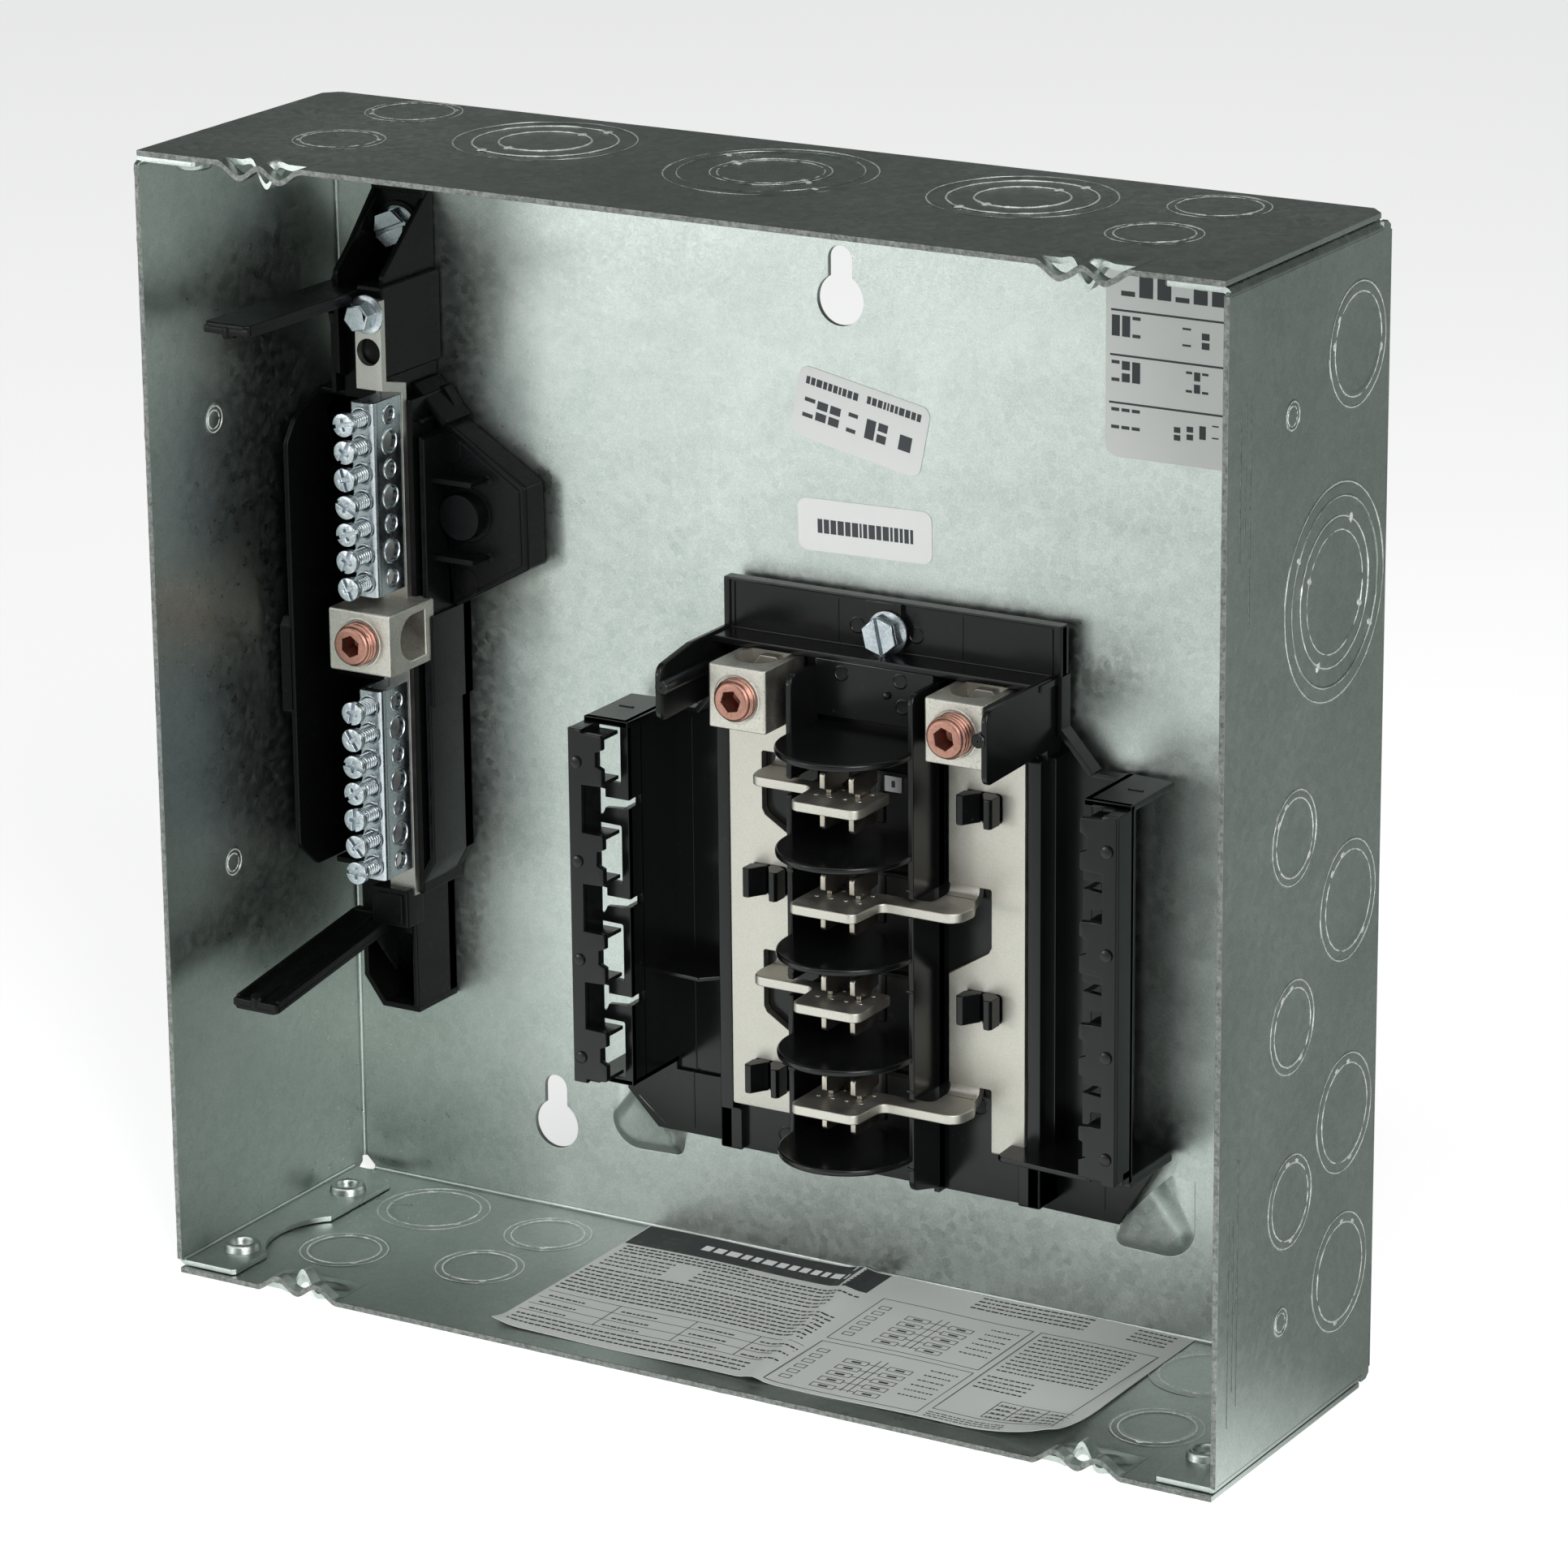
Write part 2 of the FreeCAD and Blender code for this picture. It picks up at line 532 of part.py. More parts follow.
def round_nose(sketch, cx, radius, centre_standoff, back_standoff):
    """A straight-sided outline whose front end is a half circle."""
    x, y, r = cx.value, -centre_standoff.value, radius.value
    centre = FreeCAD.Vector(x, y, 0)
    full = Part.Circle(centre, FreeCAD.Vector(0, 0, 1), r)
    first = sketch.addGeometry(Part.ArcOfCircle(full, math.pi, 2 * math.pi))
    ends = [(x + r, y), (x + r, -back_standoff.value), (x - r, -back_standoff.value), (x - r, y)]
    vectors = [FreeCAD.Vector(u, v, 0) for u, v in ends]
    for start, end in zip(vectors, vectors[1:]):
        sketch.addGeometry(Part.LineSegment(start, end))
    join = sketch.addConstraint
    join(Sketcher.Constraint("Coincident", first, 2, first + 1, 1))
    join(Sketcher.Constraint("Coincident", first + 1, 2, first + 2, 1))
    join(Sketcher.Constraint("Coincident", first + 2, 2, first + 3, 1))
    join(Sketcher.Constraint("Coincident", first + 3, 2, first, 1))
    constrain(sketch, "DistanceX", first, 3, cx)
    constrain(sketch, "DistanceY", first, 3, -centre_standoff)
    constrain(sketch, "DistanceX", first, 1, cx - radius)
    constrain(sketch, "DistanceY", first, 1, -centre_standoff)
    constrain(sketch, "DistanceY", first, 2, -centre_standoff)
    for geometry, sign in ((first + 1, 1), (first + 2, -1)):
        constrain(sketch, "DistanceX", geometry, 2, cx + radius * sign)
        constrain(sketch, "DistanceY", geometry, 2, -back_standoff)


def lug_walls(body):
    """Upright walls outside the two line lugs."""
    cx, half = size("base_x"), size("lug_wall_half_width")
    wall, top, low = size("moulded_wall"), size("lug_wall_top"), size("lug_wall_bottom")
    for side in (-1, 1):
        sketch = new_sketch(body, "YZ_Plane", mirror_x(side, half) - wall / 2)
        front, root = -size("lug_wall_front"), -size("floor_front") + 0.5
        cut = size("lug_wall_corner")
        outline(sketch, [(root, low + cut), (front + cut, low), (front, low + cut),
                         (front, top - cut), (front + cut, top), (root, top)])
        pad(body, sketch, wall)


def breaker_rail(body, side):
    """The rail that holds the outer ends of the breakers: a ladder face with windows and
    T-slots, an inner wall, end plates and a row of hook plates in front."""
    wall = size("moulded_wall")
    outer = size("rail_half_width")
    inner = outer - "rail_depth"
    top, low, floor = size("rail_top"), size("rail_bottom"), size("floor_front")
    front, hook = size("rail_front"), size("hook_front")

    near, far = inner + "window_inset", inner + "window_inset" + "window_width"
    windows, hooks = [], []
    for index in range(STABS):
        centre = stab_z(index)
        windows.append((*span(side, near, far), centre - "window_below",
                        centre + "window_above"))
        half_hook = size("hook_length") / 2
        hooks.append((*span(side, outer - "hook_reach", outer),
                      centre - half_hook, centre + half_hook))
    slots = []
    for index in range(STABS - 1):
        middle = stab_z(index) - size("pitch") / 2
        stem, low_end, high_end = inner + "slot_stem", middle - "slot_low", middle + "slot_high"
        bar_low, bar_high = middle + "slot_bar_low", middle + "slot_bar_high"
        corners = [(inner - 0.5, bar_low), (stem, bar_low), (stem, low_end), (far, low_end),
                   (far, high_end), (stem, high_end), (stem, bar_high), (inner - 0.5, bar_high)]
        slots.append([(mirror_x(side, u), v) for u, v in corners])
    back = floor - 2.5
    block(body, "XZ_Plane", back, front - back, *span(side, inner, inner + wall), low, top)
    block(body, "XZ_Plane", back, front - back, *span(side, inner + wall, outer), top - wall, top)
    block(body, "XZ_Plane", front - wall, wall, *span(side, inner + wall, outer - "hook_wall"),
          low, top - wall)
    block(body, "XZ_Plane", front - 3, hook - front + 3, *span(side, outer - "hook_wall", outer),
          low, top - 1.1)
    notches(body, "XZ_Plane", front - wall - 0.5, wall + 1, windows)
    sketch = new_sketch(body, "XZ_Plane", front - 6)
    for corners in slots:
        outline(sketch, corners)
    pocket(body, sketch, 8)
    blocks(body, "XZ_Plane", hook - "hook_plate", "hook_plate", hooks)
    hand = "left" if side < 0 else "right"
    shelf_z = size(hand + "_shelf_z")
    block(body, "XZ_Plane", floor - 0.5, hand + "_shelf_reach",
          *span(side, size("seat_half_width") + 2, inner), shelf_z, shelf_z + wall)


def bus_clips(body):
    """Paired snap hooks that pass through each bus and hold it on its seat."""
    half, tall = size("clip_half_width"), size("clip_height") / 2
    seat, front = size("bus_seat"), size("clip_front")
    face = seat + "bus_thickness" + 0.1
    stems, lips = [], []
    for index in range(STABS):
        side = -1 if index % 2 == 0 else 1
        z = clip_z(index)
        x = mirror_x(side, "lug_x")
        for hand in (-1, 1):
            stem = ordered(x + half * hand, x + (half - "clip_stem") * hand)
            lip = ordered(x + half * hand, x + (half + "clip_lip") * hand)
            stems.append((*stem, z - tall, z + tall))
            lips.append((*lip, z - tall, z + tall))
    blocks(body, "XZ_Plane", seat - 0.4, front - seat + 0.4, stems)
    blocks(body, "XZ_Plane", face, front - face, lips)


def clip_z(index):
    """The left bus is held below each of its tabs and the right bus above."""
    return stab_z(index) + (size("clip_above") if index % 2 else -size("clip_below"))


# ---- buses, stabs and line lugs --------------------------------------------------------

def bus_bar(label, side, tabs):
    """A flat bar with tabs lanced out of it and bent forward to the middle of the base."""
    body = new_body(label)
    t, seat = size("bus_thickness"), size("bus_seat")
    inner, outer = size("bus_inner"), size("bus_outer")

    block(body, "XZ_Plane", seat, t, *span(side, inner, outer), "bus_bottom", "bus_top")
    lug = size("lug_x")
    block(body, "XZ_Plane", seat, t, *span(side, lug - 5.2, lug + 5.2), 2, size("lug_top") - 0.8)
    for index in tabs:
        z = stab_z(index) - t / 2
        left, right = span(side, inner - 1, "tab_root_half")
        notch(body, "XZ_Plane", seat - 1, t + 2, left, right, z - "cut_depth", z)
    for index in tabs:
        z = stab_z(index) - t / 2
        root = size("tab_root_half") - 0.6
        nose, shoulder = size("tab_nose_half"), size("tab_shoulder")
        tip, corner = size("tab_front"), size(2.0)
        points = [(-root, -seat), (-root, -shoulder + corner), (corner - root, -shoulder),
                  (-nose - corner, -shoulder), (-nose, -shoulder - corner),
                  (-nose, -tip + corner), (corner - nose, -tip), (nose - corner, -tip),
                  (nose, -tip + corner), (nose, -shoulder + 4), (-inner + 0.5, -shoulder + 4),
                  (-inner + 0.5, -seat)]
        sketch = new_sketch(body, "XY_Plane", z)
        outline(sketch, [(size("base_x") - size(u) * side, v) for u, v in points])
        pad(body, sketch, t)
        for hand in (-1, 1):
            slot_x = size("base_x") + size("blade_gap_half") * hand
            half = size("blade_thickness") / 2 + "fit_gap"
            notch(body, "XY_Plane", z - 1, t + 2, slot_x - half, slot_x + half,
                  -size("blade_front") + "blade_neck" - "fit_gap", -size("blade_back") - 1)
        rounded_bend(body, z + t)
    clip_holes(body, side, tabs)
    return body


def rounded_bend(body, z):
    """The inside of the tab's bend."""
    face = -(SIZES["bus_seat"] + SIZES["bus_thickness"])
    rounded(body, "bend_inner", lambda edge: abs(edge.BoundBox.ZMin - z.value) < 1e-4
            and abs(edge.BoundBox.ZMax - z.value) < 1e-4
            and abs(edge.BoundBox.YMin - face) < 1e-4 and abs(edge.BoundBox.YMax - face) < 1e-4
            and edge.Length > 5)


def clip_holes(body, side, tabs):
    for index in tabs:
        z = clip_z(index)
        x = size("base_x") + size("lug_x") * side
        half, tall = size("clip_half_width") + 0.3, size("clip_height") / 2 + 0.3
        notch(body, "XZ_Plane", size("bus_seat") - 1, size("bus_thickness") + 2,
              x - half, x + half, z - tall, z + tall)


def stab_blades(label, tabs):
    """Pairs of upright blades, each necked where it passes through its tab."""
    body_parts = []
    for index in tabs:
        for hand in (-1, 1):
            body_parts.append(stab_blade("%s_%d_%d" % (label, index, hand + 1), index, hand))
    group = document.addObject("Part::Compound", label)
    group.Links = body_parts
    group.Label = label
    return group


def stab_blade(label, index, hand):
    body = new_body(label)
    x = size("base_x") + size("blade_gap_half") * hand - size("blade_thickness") / 2
    z, tall = stab_z(index), size("blade_half_height")
    front, back = -size("blade_front"), -size("blade_back")
    neck, gap = front + "blade_neck", size("blade_half_height") - "blade_head"
    sketch = new_sketch(body, "YZ_Plane", x)
    rear = back - 1.5
    outline(sketch, [(front, z + gap), (front, z + tall), (back, z + tall), (back, z + gap),
                     (rear, z + gap), (rear, z - gap), (back, z - gap), (back, z - tall),
                     (front, z - tall), (front, z - gap), (neck, z - gap), (neck, z + gap)])
    pad(body, sketch, "blade_thickness")
    return body


def line_lug(label, side):
    """A box lug: the bus tongue passes up through its wire opening."""
    body = new_body(label)
    x, half = size("base_x") + size("lug_x") * side, size("lug_width") / 2
    top = size("lug_top")
    back, front = -size("lug_back"), -size("lug_front")
    block(body, "XY_Plane", top - "lug_height", "lug_height", x - half, x + half, front, back)
    bore, radius = front + "lug_roof", size("lug_bore_radius")
    opening = new_sketch(body, "XY_Plane", top - "lug_height")
    circle(opening, x, bore + radius, radius)
    pocket(body, opening, "lug_height")
    notch(body, "XY_Plane", top - "lug_height", "lug_height", x - radius, x + radius,
          bore + radius, -size("bus_seat") + 0.02)
    screw_bore(body, x, top - size("lug_height") / 2, "lug_front", size("lug_roof") + radius + 0.5)
    return body


def screw_bore(body, x, z, standoff, depth):
    sketch = new_sketch(body, "XZ_Plane", size(standoff) - depth)
    circle(sketch, x, z, size("screw_radius") + "bore_gap")
    pocket(body, sketch, size(depth) + 1)


def lug_set_screw(label, x, standoff, z):
    """A socket set screw; its threads run in the lug's front wall."""
    body = new_body(label)
    radius, length = size("screw_radius"), size("screw_length")
    turn(body, [(0, -length), (radius - 1, -length), (radius, 1 - length),
                (radius, -size(0.6)), (radius - 0.6, 0), (0, 0)])
    socket = new_sketch(body, "XZ_Plane", -size("socket_depth"))
    hexagon(socket, "socket_radius")
    pocket(body, socket, size("socket_depth") + 1)
    place(body, x, standoff, z)
    return body


# ---- neutral assembly ------------------------------------------------------------------

def neutral_carrier():
    body = new_body("neutral_carrier")
    cx, neck, wide = size("carrier_x"), size("carrier_neck_half"), size("carrier_half_width")
    back, front = size("carrier_back"), size("carrier_front")
    high, low = size("carrier_shoulder_top"), size("carrier_shoulder_bottom")
    top, bottom, wall = size("carrier_top"), size("carrier_bottom"), size("carrier_wall")
    block(body, "XZ_Plane", back, front - back, cx - neck, cx + neck, bottom, top)
    block(body, "XZ_Plane", back, front - back, cx - wide, cx + wide, low, high)
    for half, below, above in ((neck, bottom, top), (wide, low, high)):
        notch(body, "XZ_Plane", back, front - back - wall, cx - half + wall, cx + half - wall,
              below + wall, above - wall)
    slope = new_sketch(body, "YZ_Plane", cx - neck - 1)
    outline(slope, [(-back - 3.0, top + 0.1), (-front - 3.5, top + 0.1),
                    (-front - 3.5, top - 22), (-front + 0.2, top - 22)])
    pocket(body, slope, neck * 2 + 2)
    block(body, "XZ_Plane", back, 4.0, cx - neck + 0.2, cx + neck - 0.2, top - 24, top)
    wing = new_sketch(body, "XZ_Plane", back)
    root = cx + wide - 1
    outline(wing, [(root, WING_CORNERS[0][1]), *WING_CORNERS, (root, WING_TOP_ROOT_Z)])
    pad(body, wing, "wing_thickness")
    on_wing = back + "wing_thickness" - 0.5
    boss = new_sketch(body, "XZ_Plane", on_wing)
    circle(boss, "wing_boss_x", "wing_boss_z", "wing_boss_radius")
    pad(body, boss, "wing_boss_rise")
    for z in (size("wing_rib_low"), size("wing_rib_high")):
        block(body, "XZ_Plane", on_wing, "wing_rib_rise", cx + wide - 0.5, "wing_rib_end",
              z, z + "wing_rib")
    insulating_wall(body, cx - wide, low, high)
    strap_seats(body, front)
    wire_arms(body, cx, front)
    hole = new_sketch(body, "XZ_Plane", 0)
    circle(hole, cx, "mount_screw_z", size("mount_screw_radius") + 0.1)
    pocket(body, hole, 9)
    recess_for_lug(body)
    return body


def insulating_wall(body, x, low, high):
    """The tall wall between the neutral bars and the enclosure's left side."""
    block(body, "XZ_Plane", "carrier_back", size("insulating_front") - "carrier_back",
          x - 0.1, x + 1.5, low + 4, high - 8)


def strap_seats(body, front):
    """The seats that the strap rests on: low ones behind the bars, a high one at the top."""
    half = size("strap_width") / 2 + 1
    x = size("neutral_x")
    behind = size("strap_low") - "strap_thickness"
    high_behind = size("strap_high") - "strap_thickness"
    block(body, "XZ_Plane", front - 1, high_behind - front + 1, x - half, x + half,
          size("strap_step") + 2, size("strap_top") + 1)
    bore = new_sketch(body, "XZ_Plane", 0)
    circle(bore, x, "bond_z", size("bond_radius") + "bore_gap")
    pocket(body, bore, high_behind + 1)
    block(body, "XZ_Plane", front - 1, behind - front + 0.98, x - half, x + half,
          "strap_bottom", size("strap_step") - 6)
    block(body, "XZ_Plane", front - 1, 6, x - half - 1, x + half - 1.4,
          size("strap_bottom") - 9, size("strap_bottom") - 0.3)


def recess_for_lug(body):
    """The hollow that the neutral lug's back wall sits in."""
    x, half = size("neutral_x"), size("neutral_lug_width") / 2 + 0.3
    top = size("neutral_lug_top")
    notch(body, "XZ_Plane", size("neutral_lug_back") - 0.3, 12, x - half, x + half,
          top - 16.5, top + 0.3)


def wire_arms(body, cx, front):
    """Two arms that reach forward and keep the wires off the bars."""
    left, right = cx - "arm_left", cx + "arm_right"
    thick = size("arm_thickness")
    for root_z, tip_z, tip in WIRE_ARMS:
        sketch = new_sketch(body, "YZ_Plane", left)
        outline(sketch, [(-front + 1, root_z), (-tip, tip_z), (-tip, thick + tip_z),
                         (-front + 1, thick + root_z)])
        pad(body, sketch, right - left)


def neutral_strap():
    """The aluminium strap under the bars, stepped forward at its bonding end."""
    body = new_body("neutral_strap")
    t, low, high = size("strap_thickness"), size("strap_low"), size("strap_high")
    step, top, bottom = size("strap_step"), size("strap_top"), size("strap_bottom")
    sketch = new_sketch(body, "YZ_Plane", size("neutral_x") - size("strap_width") / 2)
    outline(sketch, [(-low, bottom), (-low, step - 3), (-high, step - 1), (-high, top),
                     (t - high, top), (t - high, step + 1), (t - low, step - 1),
                     (t - low, bottom)])
    pad(body, sketch, "strap_width")
    for z, radius in (("bond_z", size("bond_radius") + "bore_gap"),
                      ("strap_hole_z", size("strap_hole_radius"))):
        hole = new_sketch(body, "XZ_Plane", high - t - 1)
        circle(hole, "neutral_x", z, radius)
        pocket(body, hole, t + 2)
    return body


def neutral_bar(label, top):
    """A folded channel: screws thread through its front web, and wires enter its side."""
    body = new_body(label)
    x, half = size("neutral_x"), size("bar_width") / 2
    back, front = size("strap_low") + 0.05, size("bar_front")
    low = size(top) - "bar_length"
    block(body, "XZ_Plane", back, front - back, x - half, x + half, low, top)
    notch(body, "XZ_Plane", back, front - back - "bar_web", x - half + "bar_skin",
          x + half - "bar_skin", low, top)
    holes = new_sketch(body, "YZ_Plane", x - half - 1)
    for index in range(TERMINALS):
        radius = "wire_large" if index % 2 else "wire_small"
        circle(holes, -size("wire_standoff"), terminal_z(top, index), radius)
    pocket(body, holes, half * 2 + 2)
    bores = new_sketch(body, "XZ_Plane", front - "bar_web" - 1)
    for index in range(TERMINALS):
        circle(bores, x, terminal_z(top, index), size("terminal_radius") + "bore_gap")
    pocket(body, bores, size("bar_web") + 2)
    return body


def terminal_z(top, index):
    return size(top) - "terminal_first" - size("terminal_pitch") * index


def terminal_screw(label, z):
    """A round-headed terminal screw, drawn with its head at the origin, and backed out."""
    body = new_body(label)
    head, shank = size("terminal_head_radius"), size("terminal_radius")
    thick, length = size("terminal_head"), size("terminal_length")
    turn(body, [(0, -(thick + length)), (shank - 0.4, -(thick + length)),
                (shank, size(0.5) - (thick + length)), (shank, -thick), (head, -thick),
                (head, -size(0.7)), (head - 0.7, 0), (0, 0)])
    slot = size("terminal_slot") / 2
    notch(body, "XZ_Plane", -size(1.3), 2, -head - 1, head + 1, -slot, slot)
    place(body, "neutral_x", "terminal_head_front", z)
    return body


def neutral_lug():
    """The large neutral lug: the strap passes behind a wire opening that faces right."""
    body = new_body("neutral_lug")
    x, half = size("neutral_x"), size("neutral_lug_width") / 2
    top, tall = size("neutral_lug_top"), size("lug_height")
    front, back = size("neutral_lug_front"), size("neutral_lug_back")
    low = top - tall
    block(body, "XZ_Plane", back, front - back, x - half, x + half, low, top)
    radius, roof = size("lug_bore_radius"), size("neutral_lug_roof")
    opening = new_sketch(body, "YZ_Plane", x - half)
    circle(opening, -front + roof + radius, low + tall / 2, radius)
    pocket(body, opening, half * 2)
    strap_front = -size("strap_low")
    notch(body, "YZ_Plane", x - half, half * 2, -front + roof + radius, strap_front,
          low + tall / 2 - radius, low + tall / 2 + radius)
    strap_half = size("strap_width") / 2 + "fit_gap"
    notch(body, "XY_Plane", low - 1, tall + 2, x - strap_half, x + strap_half,
          strap_front - "fit_gap", strap_front + "strap_thickness" + "fit_gap")
    screw_bore(body, x, low + tall / 2, front, radius + roof + 0.5)
    return body


# ---- bonding and mounting screws -------------------------------------------------------

def hex_screw(label, x, standoff, z, shank, length, hexed, washer, head, slotted):
    """A hex-washer-head screw with its washer's underside at the origin."""
    body = new_body(label)
    rim = size(1.2)
    turn(body, [(0, -size(length)), (size(shank) - 0.5, -size(length)),
                (shank, size(1.0) - length), (shank, 0), (washer, 0), (washer, rim), (0, rim)])
    head_sketch = new_sketch(body, "XZ_Plane", rim - 0.05)
    hexagon(head_sketch, hexed)
    pad(body, head_sketch, size(head) - rim + 0.05)
    if slotted:
        notch(body, "XZ_Plane", size(head) - 1.4, 2, -size(washer) - 1, size(washer) + 1,
              -0.6, 0.6)
    place(body, x, standoff, z)
    return body


# ---- paper labels ----------------------------------------------------------------------

def paper_label(label, role, offset, corners, corner_radius):
    """A thin paper label on a face of the enclosure."""
    body = new_body(label)
    sketch = new_sketch(body, role, offset)
    outline(sketch, corners)
    pad(body, sketch, "paper")
    rounded(body, corner_radius, lambda edge: edge.Length < 0.2)
    return body


def tilted(cx, cz, width, height, slope):
    """The corners of a rectangle that leans by the given rise per unit run."""
    half_w, half_h = width / 2, height / 2
    return [(cx + u * half_w - v * half_h * slope, cz + v * half_h + u * half_w * slope)
            for u, v in ((-1, -1), (1, -1), (1, 1), (-1, 1))]


def labels():
    inside = size("sheet")
    floor = -(size("box_height") / 2) + "sheet"
    made = [paper_label(name, "XZ_Plane", inside, tilted(x, z, width, height, slope), LABEL_CORNER)
            for name, x, z, width, height, slope in BACK_LABELS]
    made.append(paper_label("wiring_diagram_label", "XY_Plane", floor, DIAGRAM_CORNERS,
                            LABEL_CORNER / 2))
    return made


# ---- the whole object ------------------------------------------------------------------

def build():
    lug_mid = size("lug_top") - size("lug_height") / 2
    left_lug_x = size("base_x") - "lug_x"
    right_lug_x = size("base_x") + "lug_x"
    parts = [enclosure_box(), interior_base(),
             bus_bar("left_bus_bar", -1, (0, 2)), bus_bar("right_bus_bar", 1, (1, 3)),
             stab_blades("left_stab_blades", (0, 2)), stab_blades("right_stab_blades", (1, 3)),
             line_lug("left_line_lug", -1), line_lug("right_line_lug", 1),
             lug_set_screw("left_lug_screw", left_lug_x, size("lug_front") + 3, lug_mid),
             lug_set_screw("right_lug_screw", right_lug_x, size("lug_front") + 5, lug_mid),
             neutral_carrier(), neutral_strap(),
             neutral_bar("upper_neutral_bar", "bar_top_upper"),
             neutral_bar("lower_neutral_bar", "bar_top_lower"), neutral_lug(),
             lug_set_screw("neutral_lug_screw", "neutral_x", size("neutral_lug_front") + 4.2,
                           size("neutral_lug_top") - size("lug_height") / 2)]
    for name, top in (("upper", "bar_top_upper"), ("lower", "bar_top_lower")):
        for index in range(TERMINALS):
            parts.append(terminal_screw("%s_terminal_screw_%d" % (name, index + 1),
                                        terminal_z(top, index)))
    parts.append(hex_screw("bonding_screw", "neutral_x", "strap_high", "bond_z", "bond_radius",
                           "bond_length", "bond_hex", "bond_washer", "bond_head", False))
    parts.append(hex_screw("carrier_mounting_screw", "carrier_x", size("carrier_back") + 4.1,
                           "mount_screw_z", "mount_screw_radius", 3.9, "mount_hex", 5.4, 5.0,
                           True))
    parts.append(hex_screw("base_mounting_screw", "base_x", size("base_flange_front") + 0.9,
                           "base_screw_z", "mount_screw_radius", 7.2, "mount_hex", 5.4, 5.0,
                           True))
    parts += labels()
    return parts


def check(parts):
    for item in document.Objects:
        if "Invalid" in item.State or "Error" in item.State:
            raise RuntimeError("%s failed: %s" % (item.Label, item.State))
    for part in parts:
        if part.Shape.isNull() or not part.Shape.isValid():
            raise RuntimeError("%s has no valid shape" % part.Label)


parts = build()
document.recompute()
check(parts)
os.makedirs("parts", exist_ok=True)
for part in parts:
    part.Shape.exportStep("parts/%s.step" % part.Label)
    print(part.Label, len(part.Shape.Solids), round(part.Shape.Volume, 1))
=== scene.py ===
import json
import math
import random
import bpy
import bmesh
from mathutils import Matrix, Vector, geometry, noise

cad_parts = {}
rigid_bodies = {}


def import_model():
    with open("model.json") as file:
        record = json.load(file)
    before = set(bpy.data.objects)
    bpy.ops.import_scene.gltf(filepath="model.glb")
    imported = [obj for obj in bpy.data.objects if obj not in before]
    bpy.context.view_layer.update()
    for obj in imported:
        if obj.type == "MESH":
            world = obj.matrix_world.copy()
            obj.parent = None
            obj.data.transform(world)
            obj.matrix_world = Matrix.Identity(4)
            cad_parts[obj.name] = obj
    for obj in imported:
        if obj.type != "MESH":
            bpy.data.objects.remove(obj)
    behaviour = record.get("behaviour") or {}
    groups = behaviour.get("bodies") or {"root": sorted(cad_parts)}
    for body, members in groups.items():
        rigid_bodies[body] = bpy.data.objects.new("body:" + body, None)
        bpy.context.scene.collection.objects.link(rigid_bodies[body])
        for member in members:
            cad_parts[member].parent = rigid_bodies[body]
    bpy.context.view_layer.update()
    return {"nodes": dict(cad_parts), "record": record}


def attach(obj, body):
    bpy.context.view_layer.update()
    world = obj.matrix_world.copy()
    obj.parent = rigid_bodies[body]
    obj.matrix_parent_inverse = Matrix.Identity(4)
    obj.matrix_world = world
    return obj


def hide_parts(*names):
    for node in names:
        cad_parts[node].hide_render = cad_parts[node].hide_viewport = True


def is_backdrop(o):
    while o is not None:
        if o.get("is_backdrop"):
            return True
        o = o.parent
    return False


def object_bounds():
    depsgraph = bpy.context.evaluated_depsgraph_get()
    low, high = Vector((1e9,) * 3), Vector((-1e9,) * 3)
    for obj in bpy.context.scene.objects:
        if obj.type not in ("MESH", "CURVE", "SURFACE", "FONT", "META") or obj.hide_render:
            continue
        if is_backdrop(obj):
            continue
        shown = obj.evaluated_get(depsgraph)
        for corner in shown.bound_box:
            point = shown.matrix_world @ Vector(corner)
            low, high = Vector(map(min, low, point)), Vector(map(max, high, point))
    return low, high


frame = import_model()
random.seed(7)
MM = 0.001
PANEL = "panel"

# =====================================================================================
# mesh helpers: everything below is in millimetres until a piece is made
# =====================================================================================


def welded(name, verts, faces):
    """A mesh from millimetre vertices and faces, with its seams closed."""
    mesh = bpy.data.meshes.new(name)
    mesh.from_pydata([Vector(v) * MM for v in verts], [], faces)
    bm = bmesh.new()
    bm.from_mesh(mesh)
    bmesh.ops.remove_doubles(bm, verts=bm.verts, dist=1e-6)
    bmesh.ops.dissolve_degenerate(bm, edges=bm.edges, dist=1e-8)
    bmesh.ops.recalc_face_normals(bm, faces=bm.faces)
    bm.to_mesh(mesh)
    bm.free()
    return mesh


def piece(name, verts, faces, material, body=PANEL, crease=32.0):
    """Makes one Blender object from millimetre vertices and faces."""
    mesh = welded(name, verts, faces)
    for polygon in mesh.polygons:
        polygon.use_smooth = True
    mesh.set_sharp_from_angle(angle=math.radians(crease))
    obj = bpy.data.objects.new(name, mesh)
    bpy.context.scene.collection.objects.link(obj)
    obj.data.materials.append(material)
    level_faces(obj)
    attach(obj, body)
    return obj


def level_faces(obj):
    """Keeps the shading of large flat faces level next to their rounded rims."""
    modifier = obj.modifiers.new("level_faces", "WEIGHTED_NORMAL")
    modifier.mode = "FACE_AREA"
    modifier.weight = 90
    modifier.keep_sharp = True


